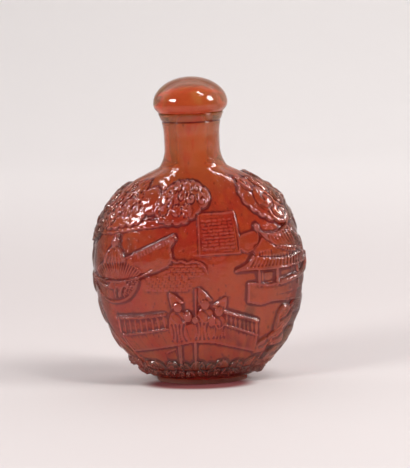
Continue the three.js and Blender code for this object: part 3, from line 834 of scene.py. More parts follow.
@dataclass
class Bridge:
    """Arched plank bridge on piers, with a railing each side of the walkers."""

    deck_top: Path = ((-23.6, 13.2), (-15.0, 14.2), (-7.0, 15.4), (0.0, 16.8), (5.1, 17.3), (8.6, 16.2),
                      (18.7, 12.9))
    deck_low: Path = ((-21.5, 8.7), (-12.9, 9.7), (-4.4, 10.9), (0.2, 11.6), (6.2, 11.2), (12.4, 9.9),
                      (19.7, 8.3))
    left_rail: Path = ((-22.2, 17.9), (-14.6, 18.2), (-7.2, 19.2))
    right_rail: Path = ((8.4, 19.6), (12.6, 18.2), (17.8, 16.6))
    piers: Sequence[tuple[Place, Place, float]] = (((-4.6, 11.2), (-5.6, 4.8), 1.2),
                                                   ((0.3, 11.9), (-0.1, 5.0), 0.8))
    shade: Pair = (((-10.4, 8.6), (-6.4, 9.3)), ((-10.8, 5.8), (-6.8, 6.0)))
    brace: Path = ((-9.8, 8.7), (-6.2, 10.0))

    def carve(self, relief: Relief, strokes: Strokes) -> None:
        """Carves the piers, the deck and the two railings.

        Args:
            relief: Takes the shapes.
            strokes: Takes the fine lines.
        """
        for top, foot, width in self.piers:
            relief.ridge([top, foot], width, 0.6, 0.35)
        strokes.across(*self.shade, 9, -0.14, 0.12, 0.06)
        relief.ridge(self.brace, 0.16, 0.5, 0.3)
        relief.mass(list(self.deck_top) + list(reversed(self.deck_low)), 0.42, pillow=0.12)
        relief.ridge(smoothed(self.deck_low, False), 0.16, 0.4, 0.3, Meeting.CUT)
        strokes.across(self.deck_top, self.deck_low, 17, -0.07, 0.12, 0.0, 0.18)
        sides = ((self.left_rail, self.deck_top[:3], 9), (self.right_rail, self.deck_top[5:], 8))
        for rail, low, count in sides:
            relief.mass(list(rail) + list(reversed(low)), 0.24)
            relief.ridge(rail, 0.2, 0.75, 0.3)
            relief.ridge([between(a, b, 0.42) for a, b in zip(rail, low)], 0.12, 0.5, 0.25)
            strokes.across(rail, low, count, 0.2, 0.14, 0.0, 0.1)
            for index in range(2 * count):
                share = (index + 0.5) / (2 * count)
                relief.dome(along(rail, share), 0.42, 0.6, 0.5)
                foot = [along(low, share - 0.15 / count), along(low, share + 0.15 / count)]
                relief.ridge(foot, 0.36, 1.1, 0.3)


@dataclass
class Rocks:
    """Stack of boulders: rounded masses with slanting tool cuts."""

    boulders: Sequence[tuple[float, float, float, float]]
    height: float = 0.8
    seed: int = 3
    corners: int = 7

    def carve(self, relief: Relief, strokes: Strokes) -> None:
        """Carves each boulder from its centre, half width and half height.

        Args:
            relief: Takes the shapes.
            strokes: Takes the fine lines.
        """
        generator = np.random.default_rng(self.seed)
        for around, up, wide, tall in self.boulders:
            steps = np.arange(self.corners) * 2 * math.pi / self.corners
            turns = np.sort(generator.uniform(-0.3, 0.3, self.corners) + steps)
            swell = generator.uniform(0.82, 1.1, self.corners)
            outline = [(around + wide * share * math.cos(turn), up + tall * share * math.sin(turn))
                       for turn, share in zip(turns, swell)]
            lift = self.height + generator.uniform(-0.15, 0.2)
            relief.mass(smoothed(outline, steps=3), lift - 0.2, 0.8, 0.5, 2.2)
            slant = generator.uniform(0.6, 1.0)
            start = (around + wide * 0.7 * slant, up + tall * 0.5)
            end = (start[0] - wide * 1.2 * slant, start[1] - tall * 0.6)
            strokes.add(start, end, -0.26, 0.3, 0.12)


@dataclass
class Waves:
    """Rows of nested wave arcs with curled crests round the base."""

    count: int = 26
    size: float = 2.6
    seed: int = 6
    flat: float = 0.8

    def carve(self, relief: Relief, strokes: Strokes) -> None:
        """Carves two staggered rows of waves.

        Args:
            relief: Takes the shapes.
            strokes: Stays as it is.
        """
        generator = np.random.default_rng(self.seed)
        for row, (up, size) in enumerate(((4.5, self.size), (2.4, self.size * 0.92))):
            for index in range(self.count):
                around = ((index + 0.5 * row + generator.uniform(-0.22, 0.22)) / self.count - 0.5) * LAP
                scale = generator.uniform(0.72, 1.15)
                self._wave(relief, (around, up + generator.uniform(-0.35, 0.35)), size * scale,
                           1 if generator.uniform() < 0.6 else -1)

    def _wave(self, relief: Relief, centre: Place, size: float, lean: int) -> None:
        """Carves one wave: a swell with nested arcs and a curl that rolls to one side.

        Args:
            relief: Takes the wave.
            centre: Middle of its foot.
            size: Its half width.
            lean: 1 where it rolls to the right, -1 where it rolls to the left.
        """
        relief.mass(arc(centre, size, 0, 180, 12, self.flat), 0.4, 0.6, 0.2)
        for share in (0.74, 0.5):
            nested = arc((centre[0] - lean * size * 0.1, centre[1]), size * share, 10, 170, 10, self.flat)
            relief.ridge(nested, 0.12, 0.22, 0.24, Meeting.CUT)
        curl = (centre[0] + lean * size * 0.5, centre[1] + size * 0.34)
        turn = 90 - 90 * lean
        sweep = arc(curl, size * 0.34, turn - 30 * lean, turn + 250 * lean, 12)
        relief.ridge(sweep, 0.34, 0.95, 0.34)
        relief.dome(curl, size * 0.16, 0.75, 0.3)
        relief.ridge(arc(centre, size * 0.97, 90, 90 + 80 * lean, 8, self.flat), 0.24, 0.85, 0.3)


@dataclass
class Landscape:
    """The whole carving: front scene, narrow sides, plainer back and the waves round the base."""

    def carve(self, relief: Relief, strokes: Strokes) -> None:
        """Carves the scenes from the farthest to the nearest.

        Args:
            relief: Takes the shapes.
            strokes: Takes the fine lines.
        """
        for motif in [Waves(), *self._front(), *self._sides(), *self._back()]:
            motif.carve(relief, strokes)

    def _front(self) -> list[Motif]:
        """The lake with the boat, the pavilion, the bridge and the walkers, under pines and cloud.

        Returns:
            The motifs, the farthest first.
        """
        left_pine = Crown(((-31.6, 37.2), (-30.8, 42.0), (-28.8, 46.8), (-25.4, 50.2), (-20.4, 51.0),
                           (-16.6, 49.6), (-16.9, 46.8), (-13.4, 43.6), (-19.0, 42.3), (-26.0, 41.8)), seed=5)
        middle_pine = Crown(((-8.9, 43.6), (-9.6, 47.4), (-7.6, 50.2), (-1.4, 51.0), (4.4, 50.4), (6.8, 48.6),
                             (3.6, 46.6), (0.8, 44.2), (-4.4, 42.5)), seed=8)
        right_cloud = Crown(((17.3, 47.6), (19.2, 50.0), (24.0, 50.9), (29.6, 50.4), (33.6, 47.8),
                             (33.8, 44.4), (29.6, 42.0), (24.8, 41.8), (21.2, 43.8), (18.6, 45.6)),
                            tuft=2.6, seed=4, curled=0.8, swell=0.75)
        shore = Rocks(((30.2, 18.2, 4.6, 4.2), (25.4, 16.8, 2.8, 3.6), (31.4, 11.0, 4.2, 4.2),
                       (25.0, 11.8, 3.2, 2.8), (21.2, 10.0, 2.2, 2.4), (27.4, 7.8, 3.4, 2.5)), 0.75, 11)
        walkers = [Walker((-4.4, 12.2), (-3.8, 21.0), (-5.6, 24.8), 2.9, 2.6),
                   Walker((2.4, 12.6), (3.4, 21.6), (2.0, 25.8), 2.7),
                   Walker((7.2, 12.8), (7.0, 19.8), (8.7, 23.2), 2.2, -1.9)]
        knoll = Knoll(((-16.4, 49.6), (-13.2, 50.6), (-10.4, 49.0), (-9.4, 46.4), (-10.8, 44.4),
                       (-14.8, 44.8), (-17.2, 47.4)))
        mist = Knoll(((-26.0, 41.6), (-17.7, 42.2), (-8.7, 42.8), (0.4, 44.2), (-6.0, 41.9), (-14.0, 40.8),
                      (-22.0, 39.6), (-28.6, 39.4)), 0.22, 0.2)
        return [mist, knoll, left_pine, middle_pine, right_cloud, FramedPanel(), Bank(), Boat(), Pavilion(),
                Bridge(), shore, *walkers, Staff(), Folds()]

    def _sides(self) -> list[Motif]:
        """Rocks stacked on the two narrow sides, each under a crown of pine.

        Returns:
            The motifs, the farthest first.
        """
        left = Rocks(((-33.5, 33.2, 3.2, 4.2), (-32.0, 26.4, 3.0, 3.6), (-36.6, 28.6, 3.2, 4.6),
                      (-33.4, 18.6, 3.6, 4.4), (-37.0, 20.0, 3.2, 4.8), (-34.4, 11.2, 4.0, 3.8)), 0.4, 21)
        right = Rocks(((35.2, 40.4, 3.6, 2.8), (34.4, 33.6, 2.8, 3.4), (37.6, 31.0, 3.0, 5.0),
                       (35.6, 26.4, 2.8, 3.6), (36.2, 16.6, 3.2, 4.8), (38.6, 22.6, 2.6, 3.6)), 0.6, 27)
        left_crown = Crown(((-45.0, 45.8), (-43.0, 48.6), (-37.5, 49.8), (-31.5, 49.2), (-30.0, 47.0),
                            (-34.0, 45.6), (-40.0, 44.6)), seed=41)
        right_crown = Crown(((31.4, 49.6), (33.8, 51.5), (39.4, 51.9), (43.6, 49.9), (44.6, 47.2),
                             (40.6, 45.0), (35.6, 46.2)), seed=43)
        return [left, right, left_crown, right_crown]

    def _back(self) -> list[Motif]:
        """Hills and a pine over the lake, with cloud above.

        Returns:
            The motifs, the farthest first.
        """
        pine = Crown(((47.6, 44.0), (47.0, 47.6), (49.6, 50.2), (54.0, 50.8), (58.0, 49.6), (59.4, 46.8),
                      (56.0, 44.4), (51.6, 43.2)), seed=15)
        cloud = Crown(((67.0, 45.0), (66.4, 48.0), (69.6, 50.4), (75.0, 50.8), (79.6, 48.6), (79.8, 45.0),
                       (76.4, 42.8), (71.0, 43.0)), tuft=2.5, seed=17, curled=0.8, swell=0.7)
        rocks = Rocks(((46.4, 15.6, 4.2, 3.6), (50.6, 11.6, 3.8, 3.4), (45.4, 10.4, 3.6, 3.0),
                       (78.0, 12.6, 4.2, 3.8), (83.2, 16.0, 3.6, 4.2), (84.0, 10.4, 3.4, 3.0)), 0.75, 31)
        return [Hills(), pine, cloud, rocks]


@dataclass
class Bank:
    """Low bank of reeds behind the bridge: a wavy edge over rows of dashes."""

    outline: Path = ((-4.5, 33.1), (-2.4, 32.5), (0.2, 32.6), (2.5, 32.1), (3.9, 30.4), (3.8, 27.9),
                     (0.0, 25.8), (-6.6, 24.8), (-11.9, 25.3), (-11.0, 28.9), (-7.5, 30.6))
    edge: Path = ((-4.6, 33.2), (-3.4, 32.5), (-2.2, 32.7), (-0.6, 32.2), (0.6, 32.6), (2.6, 32.1),
                  (3.6, 31.2), (4.0, 30.0))
    reeds: Sequence[tuple[Place, Place, int]] = (((-11.6, 25.0), (0.4, 28.6), 6),
                                                 ((-6.6, 28.6), (3.4, 31.8), 5))

    def carve(self, relief: Relief, strokes: Strokes) -> None:
        """Carves the bank, its wavy edge and its dashes.

        Args:
            relief: Takes the shapes.
            strokes: Takes the fine lines.
        """
        relief.mass(smoothed(self.outline), 0.16, 1.6, 0.1)
        relief.ridge(smoothed(self.edge, False), 0.22, 0.7, 0.3)
        for low_left, high_right, rows in self.reeds:
            strokes.rows(low_left, high_right, rows, 0.9, 0.7, 0.17, 0.12)


@dataclass
class Staff:
    """Staff with a round lantern beside the middle walker."""

    path: Path = ((0.9, 17.8), (1.1, 25.4))
    lantern: Place = (0.7, 17.7)

    def carve(self, relief: Relief, strokes: Strokes) -> None:
        """Carves the staff and the lantern.

        Args:
            relief: Takes the shapes.
            strokes: Stays as it is.
        """
        relief.ridge(self.path, 0.24, 1.1, 0.3)
        relief.dome(self.lantern, 0.9, 0.85, 0.4)


@dataclass
class Folds:
    """Long folds cut along the lower left edge, where the bank falls to the water."""

    paths: Sequence[Path] = (((-29.2, 27.0), (-28.9, 20.0), (-27.0, 13.6), (-23.2, 8.6)),
                             ((-30.8, 25.0), (-30.6, 18.6), (-28.8, 12.0), (-25.6, 7.4)))
    width: float = 0.55
    depth: float = 0.5

    def carve(self, relief: Relief, strokes: Strokes) -> None:
        """Cuts each fold.

        Args:
            relief: Takes the shapes.
            strokes: Stays as it is.
        """
        for path in self.paths:
            relief.ridge(smoothed(path, False), self.width, self.depth, 0.5, Meeting.CUT)


@dataclass
class Hills:
    """Two ranges of hills on the back, with ripples on the water below."""

    left: Path = ((44.0, 23.4), (46.0, 28.6), (48.4, 32.6), (50.6, 34.8), (53.0, 32.2), (55.2, 31.4),
                  (58.0, 33.4), (61.0, 29.4), (66.0, 23.6))
    right: Path = ((60.0, 23.6), (64.0, 27.8), (68.0, 32.2), (71.4, 35.6), (74.6, 37.0), (78.0, 32.8),
                   (81.0, 29.0), (84.6, 23.6))
    foot: float = 24.0
    base: float = 24.4
    water: Path = ((52.0, 16.0), (76.0, 22.4))

    def carve(self, relief: Relief, strokes: Strokes) -> None:
        """Carves the hills, their slopes and the ripples.

        Args:
            relief: Takes the shapes.
            strokes: Takes the fine lines.
        """
        for outline in (self.left, self.right):
            relief.mass(smoothed(outline, steps=3), 0.5, 0.5, 0.35, 3.0)
            relief.ridge(smoothed(outline, False, 3), 0.2, 0.85, 0.35)
            tops = [between(top, (top[0], self.foot), 0.2) for top in outline[2:-2]]
            base = [(outline[0][0] + 2, self.base), (outline[-1][0] - 2, self.base)]
            strokes.across(tops, base, 12, -0.18, 0.2, 0.06, 0.12)
        strokes.rows(*self.water, 6, 4.2, 2.2, 0.16, 0.2)


@dataclass
class Mesh:
    """Rings of points that grow into one closed skin."""

    points: list[Array] = field(default_factory=list)
    faces: list[Array] = field(default_factory=list)
    rings: list[tuple[int, int]] = field(default_factory=list)
    count: int = 0

    def ring(self, points: Array) -> None:
        """Adds one ring and joins it to the ring before.

        Args:
            points: Its points: as many as in the ring before, or a fraction or a multiple of them.
        """
        start, size = self.count, len(points)
        self.points.append(points)
        self.count += size
        if self.rings:
            before, held = self.rings[-1]
            if held == size:
                self._sleeve(before, start, size)
            elif held > size:
                self._fan(before, held, start, size, False)
            else:
                self._fan(start, size, before, held, True)
        self.rings.append((start, size))

    def _sleeve(self, low: int, high: int, size: int) -> None:
        """Joins two rings of one size by four-sided faces.

        Args:
            low: First point of the lower ring.
            high: First point of the upper ring.
            size: Number of points in each.
        """
        here = np.arange(size)
        ahead = (here + 1) % size
        self.faces.append(np.stack([low + here, low + ahead, high + ahead, high + here], -1))

    def _fan(self, fine: int, held: int, coarse: int, size: int, flip: bool) -> None:
        """Joins a fine ring and a coarse ring by triangles.

        Args:
            fine: First point of the fine ring.
            held: Number of points in it.
            coarse: First point of the coarse ring.
            size: Number of points in it.
            flip: Whether the fine ring is the upper one.
        """
        times = held // size
        middle = times // 2
        rows = []
        for index in range(size):
            corner, following = coarse + index, coarse + (index + 1) % size
            for step in range(times):
                here = fine + index * times + step
                ahead = fine + (index * times + step + 1) % held
                apex = corner if step < middle else following
                rows.append((ahead, here, apex) if flip else (here, ahead, apex))
            pivot = fine + index * times + middle
            rows.append((pivot, corner, following) if flip else (pivot, following, corner))
        self.faces.append(np.asarray(rows))

    def cap(self, point: tuple[float, float, float], start: bool) -> None:
        """Closes the first or the last ring by triangles to one point.

        Args:
            point: The point.
            start: Whether it closes the first ring.
        """
        first, size = self.rings[0] if start else self.rings[-1]
        here = first + np.arange(size)
        ahead = first + (np.arange(size) + 1) % size
        hub = np.full(size, self.count)
        self.points.append(np.asarray([point], float))
        self.count += 1
        self.faces.append(np.stack([ahead, here, hub] if start else [here, ahead, hub], -1))

    def build(self, name: str) -> Object:
        """Makes the object.

        Args:
            name: Its name.

        Returns:
            The object, linked to the scene.
        """
        mesh = bpy.data.meshes.new(name)
        faces = [tuple(int(corner) for corner in face) for block in self.faces for face in block]
        mesh.from_pydata(np.concatenate(self.points) * MM, [], faces)
        mesh.validate()
        return linked(name, mesh)


def linked(name: str, data: bpy.types.ID) -> Object:
    """Makes an object and links it to the scene.

    Args:
        name: Its name.
        data: Its mesh, light or camera.

    Returns:
        The object.
    """
    made = bpy.data.objects.new(name, data)
    bpy.context.scene.collection.objects.link(made)
    return made


def store(mesh: bpy.types.Mesh, name: str, values: Array) -> None:
    """Stores one number or one vector for each point of a mesh.

    Args:
        mesh: The mesh.
        name: Name to read them by.
        values: The numbers, or rows of three numbers.
    """
    kind, slot = ("FLOAT_VECTOR", "vector") if values.ndim > 1 else ("FLOAT", "value")
    attribute = mesh.attributes.new(name, kind, "POINT")
    attribute.data.foreach_set(slot, np.ascontiguousarray(values, np.float32).ravel())


@dataclass
class NodeTree:
    """Short way of writing a node tree: makes a node, sets it and joins its inputs."""

    tree: bpy.types.NodeTree

    def node(self, kind: str, settings: dict | None = None, **inputs: object) -> Node:
        """Makes a node.

        Args:
            kind: Its Blender type.
            settings: Properties to set on it.
            **inputs: A value or an output socket for each input; underscores stand for spaces, and a
                name of one letter and a number, such as i1, counts the inputs.

        Returns:
            The node.
        """
        made = self.tree.nodes.new(kind)
        for name, value in (settings or {}).items():
            setattr(made, name, value)
        for name, value in inputs.items():
            numbered = name[0] == "i" and name[1:].isdigit()
            socket = made.inputs[int(name[1:])] if numbered else made.inputs[name.replace("_", " ")]
            if isinstance(value, NodeSocket):
                self.tree.links.new(value, socket)
            else:
                socket.default_value = value
        return made

    def times(self, first: object, second: object) -> NodeSocket:
        """Multiplies two numbers and returns the result."""
        return self.math("MULTIPLY", first, second)

    def math(self, operation: str, first: object, second: object = 0.0, third: object = 0.0) -> NodeSocket:
        """Makes a maths node and returns its result."""
        return self.node("ShaderNodeMath", {"operation": operation}, i0=first, i1=second, i2=third).outputs[0]

    def mix(self, share: object, first: object, second: object) -> NodeSocket:
        """Mixes two colours and returns the result."""
        return self.node("ShaderNodeMix", {"data_type": "RGBA"}, i0=share, i6=first, i7=second).outputs[2]

    def parts(self, vector: NodeSocket) -> Sockets:
        """Splits a vector and returns its three numbers."""
        return self.node("ShaderNodeSeparateXYZ", i0=vector).outputs

    def read(self, name: str, kind: str = "FLOAT") -> NodeSocket:
        """Reads a stored attribute."""
        made = self.node("GeometryNodeInputNamedAttribute", {"data_type": kind}, Name=name)
        return made.outputs["Attribute"]

    def kept(self, geometry: NodeSocket, name: str, value: NodeSocket) -> NodeSocket:
        """Stores one number for each point and returns the geometry."""
        return self.node("GeometryNodeStoreNamedAttribute", {"data_type": "FLOAT", "domain": "POINT"},
                         Geometry=geometry, Name=name, Value=value).outputs[0]

    def sample(self, geometry: NodeSocket, value: NodeSocket, index: NodeSocket,
               kind: str = "FLOAT") -> NodeSocket:
        """Returns the value at one point of a geometry."""
        return self.node("GeometryNodeSampleIndex", {"data_type": kind, "domain": "POINT"}, Geometry=geometry,
                         Value=value, Index=index).outputs[0]

    def range(self, value: NodeSocket, low: object, high: object, to_low: object, to_high: object,
              eased: bool = True) -> NodeSocket:
        """Maps one range onto another.

        Args:
            value: What is mapped.
            low: Start of its range.
            high: End of its range.
            to_low: Result at the start and before it.
            to_high: Result at the end and past it.
            eased: Whether the result starts and ends softly.

        Returns:
            The result.
        """
        return self.node("ShaderNodeMapRange", {"interpolation_type": "SMOOTHSTEP" if eased else "LINEAR"},
                         i0=value, i1=low, i2=high, i3=to_low, i4=to_high).outputs[0]

    def ended(self, geometry: NodeSocket, material: NodeSocket) -> bpy.types.NodeTree:
        """Ends a geometry tree: makes instances real, sets the material and joins the output.

        Args:
            geometry: What the tree gives out.
            material: Its material.

        Returns:
            The finished tree.
        """
        real = self.node("GeometryNodeRealizeInstances", Geometry=geometry)
        coated = self.node("GeometryNodeSetMaterial", Geometry=real.outputs[0], Material=material)
        self.node("NodeGroupOutput", i0=coated.outputs[0])
        return self.tree


def geometry_tree(name: str, inputs: Sequence[tuple[str, str]]) -> tuple[NodeTree, Sockets]:
    """Starts a geometry tree with a geometry in and out, and named inputs.

    Args:
        name: Name of the tree.
        inputs: Name and socket type of each further input.

    Returns:
        The tree and what its input node gives.
    """
    tree = bpy.data.node_groups.new(name, "GeometryNodeTree")
    tree.interface.new_socket("Geometry", in_out="INPUT", socket_type="NodeSocketGeometry")
    for title, kind in inputs:
        tree.interface.new_socket(title, in_out="INPUT", socket_type=kind)
    tree.interface.new_socket("Geometry", in_out="OUTPUT", socket_type="NodeSocketGeometry")
    return NodeTree(tree), tree.nodes.new("NodeGroupInput").outputs


def grown(base: Object, tree: bpy.types.NodeTree, values: dict[str, object]) -> Object:
    """Runs a geometry tree on an object and keeps the result as its plain mesh.

    Args:
        base: The object.
        tree: The tree.
        values: Value of each named input.

    Returns:
        The same object with its new mesh and no modifier.
    """
    modifier = base.modifiers.new("shape", "NODES")
    modifier.node_group = tree
    sockets = {item.name: item.identifier for item in tree.interface.items_tree if item.in_out == "INPUT"}
    for name, value in values.items():
        modifier[sockets[name]] = value
    graph = bpy.context.evaluated_depsgraph_get()
    result = bpy.data.meshes.new_from_object(base.evaluated_get(graph))
    base.modifiers.remove(modifier)
    old = base.data
    base.data = result
    bpy.data.meshes.remove(old)
    result.name = base.name
    return base


@dataclass
class CarvingTool:
    """Geometry tree that lifts the skin by its relief and cuts or raises the short strokes on it."""

    softness: float = 0.24
    span: int = 8
    crest_rounds: int = 9
    crest_gain: float = 3.6
    groove_shade: float = 0.5
    hand_scale: float = 420.0
    hand_depth: float = 0.34

    def strokes_object(self, strokes: Strokes) -> Object:
        """Makes the seeds: one point for each stroke, with its stored numbers.

        Args:
            strokes: The strokes.

        Returns:
            The object that holds the points.
        """
        seeds = np.asarray(strokes.seeds)
        mesh = bpy.data.meshes.new("stroke_seeds")
        mesh.from_pydata(np.column_stack([seeds[:, 0], seeds[:, 1], np.zeros(len(seeds))]), [], [])
        for index, name in enumerate(("turn", "length", "bend", "lift", "breadth")):
            store(mesh, name, seeds[:, index + 2])
        return linked("stroke_seeds", mesh)

    def _lines(self, build: NodeTree, seeds: NodeSocket) -> NodeSocket:
        """Turns each seed into a bent line lying flat.

        Args:
            build: The tree.
            seeds: Geometry of the seeds.

        Returns:
            Geometry of the lines, which keep the numbers of their seeds.
        """
        line = build.node("GeometryNodeMeshLine", {"mode": "END_POINTS"}, Count=self.span,
                          Start_Location=(0.0, 0.0, 0.0), Offset=(1.0, 0.0, 0.0))
        share = build.parts(build.node("GeometryNodeInputPosition").outputs[0])[0]
        marked = build.kept(line.outputs[0], "share", share)
        heading = build.node("ShaderNodeCombineXYZ", Z=build.read("turn")).outputs[0]
        rotation = build.node("FunctionNodeEulerToRotation", Euler=heading).outputs[0]
        size = build.node("ShaderNodeCombineXYZ", X=build.read("length"), Y=1.0, Z=1.0).outputs[0]
        placed = build.node("GeometryNodeInstanceOnPoints", Points=seeds, Instance=marked, Rotation=rotation,
                            Scale=size)
        real = build.node("GeometryNodeRealizeInstances", Geometry=placed.outputs[0])
        part = build.read("share")
        swell = build.times(build.times(part, build.math("SUBTRACT", 1.0, part)), 4.0)
        swell = build.times(swell, build.times(build.read("bend"), build.read("length")))
        sideways = build.math("ADD", build.read("turn"), math.pi / 2)
        shift = build.node("ShaderNodeCombineXYZ", X=build.times(build.math("COSINE", sideways), swell),
                           Y=build.times(build.math("SINE", sideways), swell)).outputs[0]
        return build.node("GeometryNodeSetPosition", Geometry=real.outputs[0], Offset=shift).outputs[0]

    def tree(self) -> bpy.types.NodeTree:
        """Builds the tree.

        Returns:
            The tree, with inputs for the strokes, their soft edge, the metres in one unit and the material.
        """
        build, given = geometry_tree("Carve Surface", (
            ("Strokes", "NodeSocketObject"), ("Softness", "NodeSocketFloat"), ("Step", "NodeSocketFloat"),
            ("Material", "NodeSocketMaterial")))
        seeds = build.node("GeometryNodeObjectInfo", Object=given["Strokes"]).outputs["Geometry"]
        lines = self._lines(build, seeds)
        near = build.node("GeometryNodeProximity", {"target_element": "EDGES"}, i0=lines,
                          Sample_Position=build.read("place", "FLOAT_VECTOR"))
        nearest = build.node("GeometryNodeSampleNearest", {"domain": "POINT"}, Geometry=lines,
                             Sample_Position=near.outputs["Position"]).outputs[0]
        lift, breadth = (build.sample(lines, build.read(name), nearest) for name in ("lift", "breadth"))
        edge = build.math("ADD", breadth, given["Softness"])
        share = build.range(near.outputs["Distance"], breadth, edge, 1.0, 0.0)
        height = build.math("ADD", build.read("relief"), build.times(share, lift))
        uneven = build.node("ShaderNodeTexNoise", Scale=self.hand_scale, Detail=2.0,
                            Vector=build.node("GeometryNodeInputPosition").outputs[0]).outputs["Fac"]
        height = build.math("MULTIPLY_ADD", build.math("SUBTRACT", uneven, 0.5), self.hand_depth, height)
        height = build.times(height, build.read("carved"))
        carved = build.kept(given["Geometry"], "relief", height)
        height = build.read("relief")
        # crest: how far the relief stands above its blurred self; the finish paints shade where it is low and
        # highlight where it is high, and the band marks lower it in the neck's groove and raise it on the
        # foot
        calm = build.node("GeometryNodeBlurAttribute", {"data_type": "FLOAT"}, Value=height,
                          Iterations=self.crest_rounds).outputs[0]
        crest = build.math("MULTIPLY_ADD", build.math("SUBTRACT", height, calm), self.crest_gain, 0.5)
        crest = build.math("SUBTRACT", crest, build.times(build.read("groove"), self.groove_shade))
        marked = build.kept(carved, "crest", crest)
        outward = build.read("outward", "FLOAT_VECTOR")
        shift = build.node("ShaderNodeVectorMath", {"operation": "SCALE"}, i0=outward,
                           Scale=build.times(height, given["Step"])).outputs[0]
        raised = build.node("GeometryNodeSetPosition", Geometry=marked, Offset=shift)
        return build.ended(raised.outputs[0], given["Material"])


